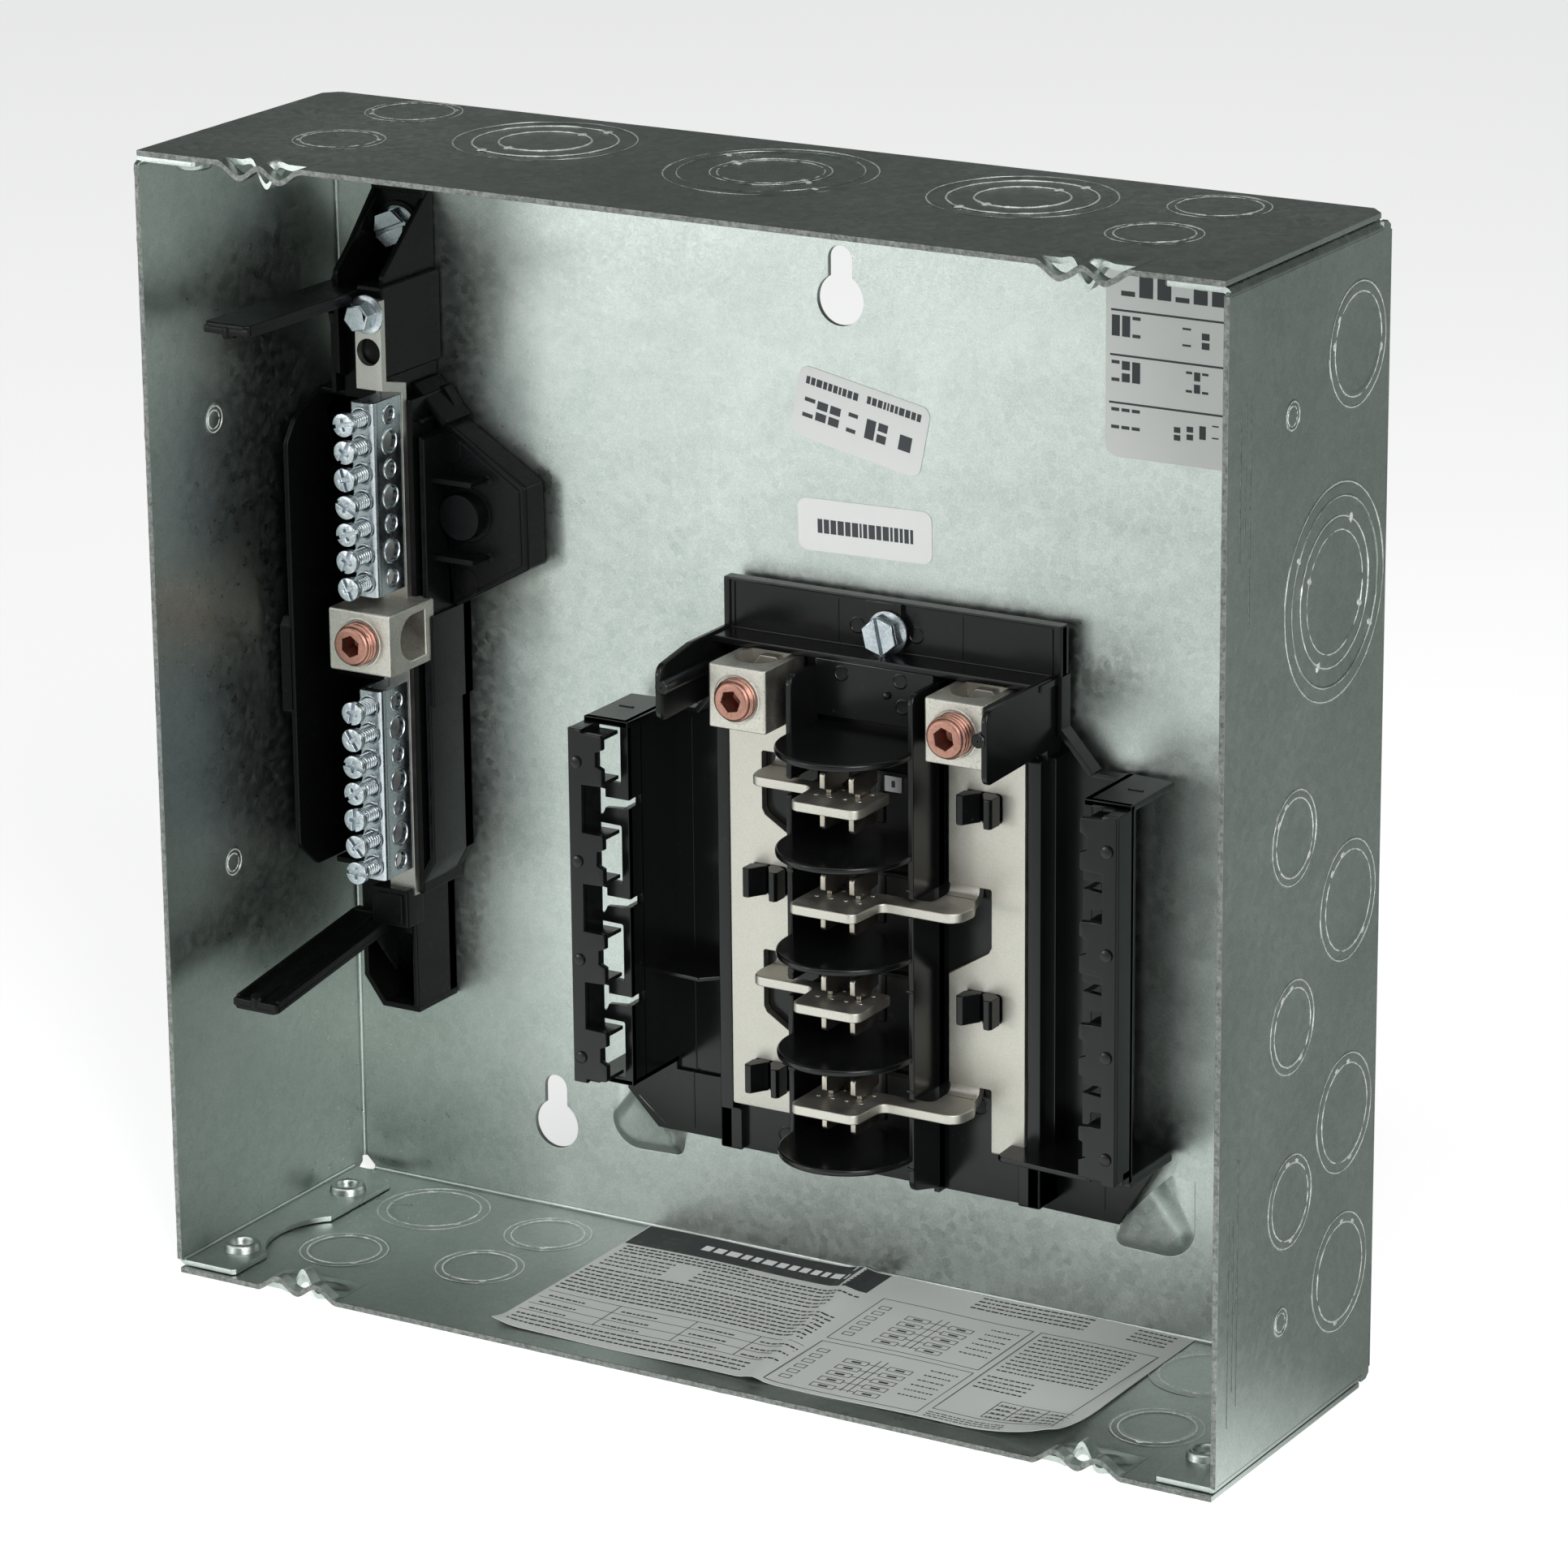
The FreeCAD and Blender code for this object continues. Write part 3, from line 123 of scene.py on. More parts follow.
class Solid:
    """Collects vertices and faces of one piece."""

    def __init__(self):
        self.verts = []
        self.faces = []

    def add(self, verts, faces):
        start = len(self.verts)
        self.verts.extend(tuple(v) for v in verts)
        self.faces.extend(tuple(start + i for i in face) for face in faces)
        return self

    def grid(self, rows, close_u=False, close_v=False, flip=False):
        """A sheet of quads through rows of points."""
        n, m = len(rows), len(rows[0])
        start = len(self.verts)
        for row in rows:
            self.verts.extend(tuple(p) for p in row)
        for i in range(n if close_v else n - 1):
            for j in range(m if close_u else m - 1):
                a = start + i * m + j
                b = start + i * m + (j + 1) % m
                c = start + ((i + 1) % n) * m + (j + 1) % m
                d = start + ((i + 1) % n) * m + j
                self.faces.append((a, d, c, b) if flip else (a, b, c, d))
        return self

    def fan(self, ring, centre):
        start = len(self.verts)
        self.verts.extend(tuple(p) for p in ring)
        self.verts.append(tuple(centre))
        tip = start + len(ring)
        for j in range(len(ring)):
            self.faces.append((start + j, start + (j + 1) % len(ring), tip))
        return self

    def make(self, name, material, slot, body=PANEL, crease=32.0):
        return piece(name, self.verts, self.faces, material, body, crease)


def area(loop):
    return sum(a[0] * b[1] - b[0] * a[1] for a, b in zip(loop, loop[1:] + loop[:1])) / 2


def inside(point, loops):
    x, y = point
    odd = False
    for loop in loops:
        for (x1, y1), (x2, y2) in zip(loop, loop[1:] + loop[:1]):
            if (y1 > y) != (y2 > y) and x < (x2 - x1) * (y - y1) / (y2 - y1) + x1:
                odd = not odd
    return odd


def inset(loop, amount):
    """Moves a loop to the left of its own direction, with mitred corners."""
    if amount == 0:
        return list(loop)
    out = []
    count = len(loop)
    for i in range(count):
        a, b, c = Vector(loop[i - 1]), Vector(loop[i]), Vector(loop[(i + 1) % count])
        first, second = (b - a), (c - b)
        if first.length < 1e-9 or second.length < 1e-9:
            out.append(tuple(b))
            continue
        first.normalize()
        second.normalize()
        left = Vector((-first.y, first.x)) + Vector((-second.y, second.x))
        if left.length < 1e-6:
            left = Vector((-first.y, first.x)) * 2
        scale = 2.0 / max(left.length_squared, 0.6)
        out.append(tuple(b + left * scale * amount))
    return out


def triangles(loops):
    """Triangles that fill the area between loops (the first is the outside)."""
    points, edges = [], []
    for loop in loops:
        start = len(points)
        points.extend(Vector(p) for p in loop)
        edges.extend((start + i, start + (i + 1) % len(loop)) for i in range(len(loop)))
    made = geometry.delaunay_2d_cdt(points, edges, [], 1, 1e-7)
    verts, faces = made[0], made[2]
    kept = []
    for face in faces:
        cx = sum(verts[i].x for i in face) / len(face)
        cy = sum(verts[i].y for i in face) / len(face)
        if inside((cx, cy), loops):
            kept.append(tuple(face))
    return [(v.x, v.y) for v in verts], kept


def slab(solid, place, outline, holes=(), low=0.0, high=1.0, edge=0.2, steps=2, open_holes=()):
    """A flat plate between two heights with rounded rims. place(u, v, w) gives the 3-D point.
    Rims of open_holes are left open, for another patch to meet."""
    outline = list(outline) if area(list(outline)) > 0 else list(outline)[::-1]
    cut = [list(hole) if area(list(hole)) < 0 else list(hole)[::-1] for hole in holes]
    bare = [list(hole) if area(list(hole)) < 0 else list(hole)[::-1] for hole in open_holes]
    rims = [outline] + cut
    edge = min(edge, (high - low) / 2.001)
    for w, turn in ((high, 1), (low, -1)):
        verts, faces = triangles([inset(loop, edge) for loop in rims] + bare)
        if turn < 0:
            faces = [face[::-1] for face in faces]
        solid.add([place(u, v, w) for u, v in verts], faces)
    for loop in rims:
        rows = []
        for k in range(steps + 1):
            angle = math.pi / 2 * k / steps
            rows.append((edge * (1 - math.sin(angle)), high - edge * (1 - math.cos(angle))))
        rows += [(i, low + high - w) for i, w in reversed(rows)]
        rings = []
        for amount, w in rows:
            ring = inset(loop, amount)
            rings.append([place(u, v, w) for u, v in ring])
        solid.grid(rings, close_u=True)
    return solid


def arc(cx, cy, radius, start, end, count):
    out = []
    for i in range(count + 1):
        angle = math.radians(start + (end - start) * i / count)
        out.append((cx + radius * math.cos(angle), cy + radius * math.sin(angle)))
    return out


def ring(cx, cy, radius, count=48):
    return arc(cx, cy, radius, 0, 360, count)[:-1]


def rounded(corners, radius, count=4):
    """A polygon with its corners rounded; radius is one number or one per corner."""
    out = []
    total = len(corners)
    for i in range(total):
        r = radius[i] if isinstance(radius, (list, tuple)) else radius
        b = Vector(corners[i][:2])
        a, c = Vector(corners[i - 1][:2]), Vector(corners[(i + 1) % total][:2])
        u, v = (a - b), (c - b)
        if r <= 0:
            out.append(tuple(b))
            continue
        lu, lv = u.length, v.length
        u.normalize()
        v.normalize()
        angle = math.acos(max(-1, min(1, u.dot(v))))
        if angle > math.radians(176):
            out.append(tuple(b))
            continue
        reach = min(r / math.tan(angle / 2), lu * 0.49, lv * 0.49)
        real = reach * math.tan(angle / 2)
        centre = b + (u + v).normalized() * (real / math.sin(angle / 2))
        start, end = b + u * reach - centre, b + v * reach - centre
        a0, a1 = math.atan2(start.y, start.x), math.atan2(end.y, end.x)
        delta = (a1 - a0 + math.pi) % (2 * math.pi) - math.pi
        for k in range(count + 1):
            t = a0 + delta * k / count
            out.append((centre.x + real * math.cos(t), centre.y + real * math.sin(t)))
    return out


def front(u, v, w):
    """u to the right, v up, w toward the viewer."""
    return (u, -w, v)


def flat(u, v, w):
    """u to the right, v toward the wall, w up."""
    return (u, v, w)


def side(u, v, w):
    """u toward the wall, v up, w to the right."""
    return (w, u, v)


def box(solid, x0, x1, y0, y1, z0, z1, edge=0.25, corner=0.0, steps=2, way="front"):
    """A block with rounded edges, given its limits."""
    x0, x1 = sorted((x0, x1))
    y0, y1 = sorted((y0, y1))
    z0, z1 = sorted((z0, z1))
    if way == "front":
        loop = [(x0, z0), (x1, z0), (x1, z1), (x0, z1)]
        place, low, high = front, -y1, -y0
    elif way == "flat":
        loop = [(x0, y0), (x1, y0), (x1, y1), (x0, y1)]
        place, low, high = flat, z0, z1
    else:
        loop = [(y0, z0), (y1, z0), (y1, z1), (y0, z1)]
        place, low, high = side, x0, x1
    corner = max(corner, edge)
    return slab(solid, place, rounded(loop, corner, 3), (), low, high, edge, steps)


def lathe(solid, profile, centre, axis="y", count=40, flip=False):
    """Turns (radius, height) pairs about an axis. Height runs toward -Y for axis y,
    +Z for axis z and +X for axis x."""
    cx, cy, cz = centre
    rings = []
    for radius, height in profile:
        points = []
        for j in range(count):
            a = 2 * math.pi * j / count
            p, q = radius * math.cos(a), radius * math.sin(a)
            if axis == "y":
                points.append((cx + p, cy - height, cz + q))
            elif axis == "z":
                points.append((cx + p, cy + q, cz + height))
            else:
                points.append((cx + height, cy + p, cz + q))
        rings.append(points)
    return solid.grid(rings, close_u=True, flip=flip)


# =====================================================================================
# materials
# =====================================================================================


class Nodes:
    """Short names for building a material's node tree."""

    def __init__(self, name):
        self.material = bpy.data.materials.new(name)
        self.material.use_nodes = True
        self.tree = self.material.node_tree
        self.shader = self.tree.nodes["Principled BSDF"]
        self.coords = self.add("ShaderNodeTexCoord").outputs["Object"]

    def add(self, kind, **values):
        node = self.tree.nodes.new(kind)
        for key, value in values.items():
            setattr(node, key, value)
        return node

    def link(self, source, target):
        self.tree.links.new(source, target)

    def scaled(self, x, y, z):
        node = self.add("ShaderNodeMapping")
        node.inputs["Scale"].default_value = (x, y, z)
        self.link(self.coords, node.inputs["Vector"])
        return node.outputs["Vector"]

    def noise(self, scale, detail=4.0, rough=0.6, vector=None):
        node = self.add("ShaderNodeTexNoise")
        node.inputs["Scale"].default_value = scale
        node.inputs["Detail"].default_value = detail
        node.inputs["Roughness"].default_value = rough
        self.link(vector or self.coords, node.inputs["Vector"])
        return node.outputs["Fac"]

    def cells(self, scale, vector=None, feature="F1", output="Color"):
        node = self.add("ShaderNodeTexVoronoi", feature=feature)
        node.inputs["Scale"].default_value = scale
        self.link(vector or self.coords, node.inputs["Vector"])
        return node.outputs[output]

    def range(self, value, low, high, new_low, new_high):
        node = self.add("ShaderNodeMapRange")
        for key, number in (("From Min", low), ("From Max", high), ("To Min", new_low),
                            ("To Max", new_high)):
            node.inputs[key].default_value = number
        self.link(value, node.inputs["Value"])
        return node.outputs["Result"]

    def math(self, operation, first, second):
        node = self.add("ShaderNodeMath", operation=operation)
        for index, item in enumerate((first, second)):
            if isinstance(item, (int, float)):
                node.inputs[index].default_value = item
            else:
                self.link(item, node.inputs[index])
        return node.outputs["Value"]

    def blend(self, factor, first, second, mode="MIX"):
        node = self.add("ShaderNodeMix", data_type="RGBA", blend_type=mode)
        for key, item in ((0, factor), (6, first), (7, second)):
            if isinstance(item, (tuple, list)):
                node.inputs[key].default_value = (*item, 1.0)
            elif isinstance(item, (int, float)):
                node.inputs[key].default_value = item
            else:
                self.link(item, node.inputs[key])
        return node.outputs[2]

    def bump(self, height, strength, distance, normal=None):
        node = self.add("ShaderNodeBump")
        node.inputs["Strength"].default_value = strength
        node.inputs["Distance"].default_value = distance
        self.link(height, node.inputs["Height"])
        if normal is not None:
            self.link(normal, node.inputs["Normal"])
        return node.outputs["Normal"]

    def finish(self, colour=None, rough=None, metal=None, normal=None):
        for key, item in (("Base Color", colour), ("Roughness", rough), ("Metallic", metal),
                          ("Normal", normal)):
            if item is None:
                continue
            if isinstance(item, (tuple, list)):
                self.shader.inputs[key].default_value = (*item, 1.0)
            elif isinstance(item, (int, float)):
                self.shader.inputs[key].default_value = item
            else:
                self.link(item, self.shader.inputs[key])
        return self.material


def galvanised():
    n = Nodes("galvanised_steel")
    warp = n.noise(900, 3)
    cell = n.cells(520)
    grain = n.noise(2300, 6, 0.8)
    cloud = n.noise(26, 5, 0.6)
    stain = n.noise(9, 6, 0.62)
    fine = n.noise(7000, 2, 0.5)
    value = n.math("ADD", n.range(cell, 0, 1, -0.04, 0.04), n.range(grain, 0.2, 0.8, -0.15, 0.15))
    value = n.math("ADD", value, n.range(cloud, 0.3, 0.7, -0.04, 0.04))
    value = n.math("ADD", value, n.range(stain, 0.3, 0.7, -0.05, 0.05))
    tone = n.range(value, -0.18, 0.18, 0.0, 1.0)
    colour = n.blend(tone, (0.27, 0.31, 0.29), (0.62, 0.66, 0.635))
    speck = n.range(n.noise(1900, 4, 0.85), 0.74, 0.80, 0, 0.35)
    colour = n.blend(speck, colour, (0.16, 0.18, 0.17))
    rough = n.math("ADD", n.range(cell, 0, 1, 0.29, 0.40), n.range(warp, 0.3, 0.7, -0.03, 0.05))
    rough = n.math("ADD", rough, n.range(stain, 0.35, 0.65, -0.04, 0.06))
    height = n.math("ADD", n.range(grain, 0, 1, 0, 0.6), n.range(fine, 0, 1, 0, 0.4))
    normal = n.bump(height, 0.5, 0.00008)
    normal = n.bump(n.noise(38, 3), 0.3, 0.0008, normal)
    return n.finish(colour, rough, 1.0, normal)


def sheared_edge(name, dark, light, rough_low, rough_high, metallic=1.0):
    """Freshly cut steel at the sheet's edges and rings. The callers' colours also paint light on it: darkened at
    the front edges as painted shade, brightened at the knockout rings as a painted highlight.
    """
    n = Nodes(name)
    streak = n.noise(900, 4, 0.7)
    grain = n.noise(5000, 3, 0.7)
    colour = n.blend(n.range(streak, 0.3, 0.7, 0, 1), dark, light)
    rough = n.range(grain, 0.2, 0.8, rough_low, rough_high)
    return n.finish(colour, rough, metallic, n.bump(streak, 0.5, 0.00015))


def moulding(name, tone, rough_low, rough_high, gloss):
    n = Nodes(name)
    cloud = n.noise(60, 4)
    grain = n.noise(4200, 4, 0.7)
    dust = n.noise(420, 6, 0.8)
    colour = n.blend(n.range(dust, 0.62, 0.9, 0, 1), (tone, tone * 1.05, tone * 1.15),
                     (0.05, 0.052, 0.056))
    rough = n.math("ADD", n.range(cloud, 0.3, 0.7, rough_low, rough_high), n.range(grain, 0.2, 0.8, -0.03, 0.05))
    normal = n.bump(grain, 0.18, 0.00005)
    normal = n.bump(n.noise(90, 2), 0.15, 0.0003, normal)
    n.shader.inputs["Specular IOR Level"].default_value = gloss
    return n.finish(colour, rough, 0.0, normal)


def metal(name, dark, light, rough_low, rough_high, scale=2600, bump=0.00005, metallic=1.0,
          pits=0.0):
    n = Nodes(name)
    grain = n.noise(scale, 5, 0.7)
    cloud = n.noise(160, 5, 0.6)
    value = n.math("ADD", n.range(grain, 0.25, 0.75, 0, 0.7), n.range(cloud, 0.3, 0.7, 0, 0.3))
    colour = n.blend(value, dark, light)
    if pits:
        speck = n.range(n.noise(scale * 0.55, 3, 0.8), 0.60, 0.68, 0, pits)
        colour = n.blend(speck, colour, tuple(c * 0.35 for c in dark))
    rough = n.range(cloud, 0.3, 0.7, rough_low, rough_high)
    return n.finish(colour, rough, metallic, n.bump(grain, 0.4, bump))


def paper(name, tone):
    n = Nodes(name)
    fibre = n.noise(3500, 6, 0.8)
    cloud = n.noise(40, 4)
    value = n.math("ADD", n.range(fibre, 0.2, 0.8, 0, 0.5), n.range(cloud, 0.3, 0.7, 0, 0.5))
    colour = n.blend(value, tuple(c * 0.93 for c in tone), tone)
    normal = n.bump(fibre, 0.2, 0.00003)
    n.shader.inputs["Specular IOR Level"].default_value = 0.16
    return n.finish(colour, n.range(cloud, 0.3, 0.7, 0.5, 0.62), 0.0, normal)


GALV = galvanised()
# real fresh-cut steel, darkened: the dark colour is painted shade that holds down the front edges' reflection of
# the lights; the scribe lines use it too
CUT_PAINTED_DARK = sheared_edge("sheared_steel_painted_dark", (0.09, 0.095, 0.09), (0.27, 0.28, 0.27), 0.42, 0.6)
# real fresh-cut steel, brightened near white and made half diffuse: a painted highlight on the knockout rings
RING_PAINTED_BRIGHT = sheared_edge("knockout_shear_painted_highlight", (0.45, 0.47, 0.45), (0.92, 0.94, 0.91), 0.3, 0.45, 0.4)
BLACK = moulding("black_moulding", 0.004, 0.15, 0.23, 0.3)
SATIN = moulding("black_satin", 0.003, 0.22, 0.32, 0.13)
BUS = metal("plated_bus", (0.40, 0.385, 0.34), (0.62, 0.60, 0.55), 0.42, 0.55, 3000, 0.00004)
BLADE = metal("stab_metal", (0.34, 0.31, 0.26), (0.56, 0.52, 0.46), 0.3, 0.42, 2500)
LUG = metal("lug_aluminium", (0.40, 0.385, 0.345), (0.66, 0.64, 0.585), 0.42, 0.56, 1500, 0.00012,
            1.0, 0.5)
COPPER = metal("copper_flash", (0.23, 0.105, 0.08), (0.5, 0.275, 0.215), 0.32, 0.46, 1800, 0.0001)
STRAP = metal("strap_aluminium", (0.42, 0.405, 0.375), (0.68, 0.66, 0.62), 0.33, 0.45, 2200)
ZINC = metal("bright_zinc", (0.30, 0.34, 0.37), (0.66, 0.70, 0.74), 0.2, 0.32, 1500, 0.00005)
PAPER = paper("label_paper", (0.72, 0.73, 0.72))
PAPER_GREY = paper("label_paper_grey", (0.56, 0.58, 0.56))
INK = paper("printed_ink", (0.06, 0.065, 0.07))
INK_GREY = paper("printed_grey", (0.034, 0.037, 0.038))

# =====================================================================================
# the enclosure
# =====================================================================================

SHEET = 1.4
HALF_W, HALF_H, DEPTH = 145.0, 142.5, 82.6
PLATE_W = 144.0
BEND = 2.2


def on_back(u, v, w):
    return (u, -w, v)


def on_top(u, v, w):
    """u to the right, v standoff from the wall, w inward from the outer face."""
    return (u, -v, HALF_H - w)


def on_bottom(u, v, w):
    return (u, -v, -HALF_H + w)


def on_right(u, v, w):
    """u standoff from the wall, v up, w inward."""
    return (HALF_W - w, -u, v)


def on_left(u, v, w):
    return (-HALF_W + w, -u, v)


SEGMENTS = 96


def knockout(solid, place, cx, cy, sheared, coined=(), turn=0.0, ties=2, lift=0.0):
    """A round knockout: sheared rings with ties, and coined steps, on both faces of a sheet.
    Returns the rim loop that the plate must leave open."""
    outermost = max(list(sheared) + list(coined)) + 0.9
    stations = [0.0]
    for radius in sorted(list(sheared) + list(coined)):
        if radius in sheared:
            stations += [radius - 0.75, radius - 0.42, radius - 0.2, radius - 0.12,
                         radius + 0.10, radius + 0.18, radius + 0.42]
        else:
            stations += [radius - 0.8, radius - 0.35, radius, radius + 0.4]
    stations = sorted(s for s in stations if s < outermost - 0.05) + [outermost]

    def height(radius, angle):
        value = 0.0
        for k, shear in enumerate(sorted(sheared)):
            d = radius - shear
            wobble = 0.05 * math.sin(angle * 3 + shear) + 0.03 * math.sin(angle * 7 + 2 * shear)
            tied = False
            for tie in range(ties):
                at = math.radians(turn) + math.pi * 2 * tie / ties + k * 0.9
                gap = abs((angle - at + math.pi) % (2 * math.pi) - math.pi) * shear
                tied = tied or gap < 1.6
            if -0.13 < d < 0.11:
                value += -0.12 if tied else -1.0
            elif 0.11 <= d < 0.3:
                value += 0.15 + wobble
            elif -0.3 < d <= -0.13:
                value += 0.10 - wobble
            if d < -0.3:
                value += (0.16 if k % 2 == 0 else -0.16) * min(1.0, (-d - 0.3) / 0.4) + lift
        for coin in coined:
            if radius < coin - 0.5:
                value -= 0.16
            elif radius < coin:
                value -= 0.10
        return value

    for w, outward in ((0.0, 1), (SHEET, -1)):
        rings = []
        for radius in stations[1:]:
            row = []
            for j in range(SEGMENTS):
                a = 2 * math.pi * j / SEGMENTS
                rise = height(radius, a) * (1 if outward > 0 else 0.8)
                if radius >= outermost:
                    rise = 0.0
                rise = max(rise, -SHEET * 0.47)
                row.append(place(cx + radius * math.cos(a), cy + radius * math.sin(a),
                                 w - rise * outward))
            rings.append(row)
        solid.grid(rings, close_u=True)
        solid.fan(rings[0], place(cx, cy, w - height(0, 0) * outward))
    return ring(cx, cy, outermost, SEGMENTS)


def ragged(start, end, step=1.3, amount=0.07, seed=0.0):
    """Points along a sheared edge, with small nicks."""
    a, b = Vector(start), Vector(end)
    count = max(2, int((b - a).length / step))
    normal = Vector((-(b - a).y, (b - a).x)).normalized()
    out = []
    for i in range(count):
        p = a.lerp(b, i / count)
        shift = noise.noise(Vector((p.x * 0.9 + seed, p.y * 0.9, seed))) * amount
        nick = noise.noise(Vector((p.x * 0.23 + seed * 3, p.y * 0.31, 5.0)))
        if nick > 0.42:
            shift -= amount * 2
        out.append(tuple(p + normal * shift) if i else tuple(p))
    return out


def bend_strip(solid, along, start, end, centre, angles, inner, outer, steps=8):
    """A bend of the sheet: a quarter of a tube. centre and angles lie across the bend."""
    rows = []
    for radius in (outer, inner):
        for i in range(steps + 1):
            angle = math.radians(angles[0] + (angles[1] - angles[0]) * i / steps)
            p, q = centre[0] + radius * math.cos(angle), centre[1] + radius * math.sin(angle)
            rows.append([along(start, p, q), along(end, p, q)])
    first, second = rows[:steps + 1], rows[steps + 1:][::-1]
    loop = first + second
    solid.grid(loop, close_v=True)
    for k in (0, 1):
        ends = [row[k] for row in loop]
        for i in range(steps):
            a, b = ends[i], ends[i + 1]
            c, d = ends[2 * steps + 1 - i - 1], ends[2 * steps + 1 - i]
            solid.add([a, b, c, d], [(0, 1, 2, 3)])


def keyhole_loop(x, z, radius=6.35, slot=3.25, rise=10.0):
    reach = math.degrees(math.asin(slot / radius))
    loop = arc(x, z, radius, 90 + reach, 450 - reach, 40)
    return loop + arc(x, z + rise, slot, 0, 180, 20)


RIGHT = [
    (18.4, 115.1, (14.3,), (11.1,)), (28.4, 59.8, (25.2, 22.0, 17.45), (14.3,)),
    (46.9, 6.8, (11.1,), (8.7,)), (18.4, -16.2, (14.3,), (11.1,)), (46.6, -38.6, (11.1,), (8.7,)),
    (18.5, -68.4, (14.3,), (11.1,)), (46.5, -81.1, (11.1,), (8.7,)),
    (19.6, -107.7, (14.3,), (11.1,)), (50.9, 105.7, (3.25,), ()), (50.2, -109.5, (3.25,), ()),
]
LEFT = [(55.9, 71.0, (3.25,), ()), (54.5, -42.7, (3.25,), ())]
TOP = [
    (-110.7, 14.5, (11.9,), (9.4,)), (-108.3, 50.1, (11.1,), (8.7,)),
    (-63.9, 28.5, (22.0, 17.45), (11.1,)), (1.1, 33.1, (25.2, 22.0, 14.3), (12.6,)),
    (65.5, 29.4, (22.0, 17.45), (11.1,)), (109.5, 17.4, (11.9,), (9.4,)),
    (109.3, 48.8, (11.1,), (8.7,)),
]
BOTTOM = [
    (-110.7, 18.5, (14.3,), (11.1,)), (-114.9, 53.0, (11.1,), (8.7,)),
    (-78.9, 46.0, (11.1,), (8.7,)), (-75.9, 19.1, (11.1,), (8.7,)),
    (110.7, 18.5, (14.3,), (11.1,)), (114.9, 53.0, (11.1,), (8.7,)),
]


def smooth(t):
    t = max(0.0, min(1.0, t))
    return t * t * (3 - 2 * t)


def along_curve(points, x):
    """Smooth steps between (x, height) points."""
    if x <= points[0][0]:
        return points[0][1]
    for (x0, h0), (x1, h1) in zip(points, points[1:]):
        if x <= x1:
            return h0 + (h1 - h0) * smooth((x - x0) / (x1 - x0))
    return points[-1][1]


def patch(solid, place, us, vs, height, thickness=SHEET):
    """A thick sheet over a grid of u and v, pushed inward by height(u, v)."""
    upper = [[place(u, v, height(u, v)) for u in us] for v in vs]
    lower = [[place(u, v, height(u, v) + thickness) for u in us] for v in vs]
    solid.grid(upper)
    solid.grid(lower, flip=True)
    for rows in ((upper[0], lower[0]), (upper[-1], lower[-1])):
        solid.grid([rows[0], rows[1]])
    for k in (0, -1):
        solid.grid([[row[k] for row in upper], [row[k] for row in lower]])


def steps_between(start, end, count):
    return [start + (end - start) * i / count for i in range(count + 1)]


BOSS_HALF, BOSS_BACK = 12.0, 13.0
FRONT_WAVE = [(-12.0, 0), (-5.6, 3.2), (0.0, 0.35), (5.6, 3.2), (12.0, 0)]
REAR_WAVE = [(-12.0, 0), (-7.0, 0.0), (-4.2, -0.5), (0.0, 5.2), (4.2, -0.5), (7.0, 0.0), (12.0, 0)]


def boss(solid, place, x):
    """The slit front edge that grips a cover screw: two opposed waves of the sheet."""
    us = steps_between(x - BOSS_HALF, x + BOSS_HALF, 60)
    slit = DEPTH - 3.1
    patch(solid, place, us, steps_between(slit + 0.12, DEPTH, 3),
          lambda u, v: along_curve(FRONT_WAVE, u - x))
    rear_end = DEPTH - BOSS_BACK

    def rear(u, v):
        lip = along_curve(REAR_WAVE, u - x)
        dent = along_curve([(-12, 0), (-6.0, 1.5), (0, 0.6), (6.0, 1.5), (12, 0)], u - x)
        fade = smooth((slit - 3.0 - v) / 3.0)
        tail = smooth((v - rear_end) / (slit - 3.0 - rear_end))
        if v > slit - 3.0:
            return lip
        return lip * (1 - fade) + dent * fade * tail

    patch(solid, place, us, steps_between(rear_end, slit, 22), rear)


def clinch_face(solid, place, x, v):
    """The shallow dimple that a clinch leaves on the outside of a plate."""
    profile = [(0.6, 1.25), (1.6, 1.2), (2.3, 0.95), (2.9, 0.55), (3.5, 0.22), (4.2, 0.05), (4.8, 0)]
    rings = []
    for radius, depth in profile:
        rings.append([place(x + p, v + q, depth) for p, q in ring(0, 0, radius, 36)])
    solid.grid(rings, close_u=True)
    solid.fan(rings[0], place(x, v, 1.25))
    under = [[place(x + p, v + q, SHEET) for p, q in ring(0, 0, 4.8, 36)]]
    solid.fan(under[0], place(x, v, SHEET))
    return ring(x, v, 4.8, 36)


def clinch_cup(solid, place, x, v, floor):
    """The raised cup that the clinch punch draws through both sheets."""
    profile = [(4.75, 0), (4.62, 0.5), (4.45, 1.3), (4.2, 1.75), (3.8, 1.95), (3.3, 1.9),
               (2.95, 1.6), (2.7, 1.0), (2.55, 0.1), (2.2, -0.3), (1.0, -0.35)]
    rings = []
    for radius, rise in profile:
        wobble = noise.noise(Vector((radius, x * 0.1, v * 0.1))) * 0.08
        rings.append([place(x + p, v + q, floor + rise + wobble)
                      for p, q in ring(0, 0, radius, 36)])
    solid.grid(rings, close_u=True)
    solid.fan(rings[-1], place(x, v, floor - 0.35))


CLINCHES_BOTTOM = [(-135.6, 67.8), (-135.1, 21.7), (134.0, 65.7), (134.0, 21.0)]
CLINCHES_TOP = [(-134.3, 25.9), (-134.0, 73.5), (133.6, 21.5), (134.3, 70.5)]


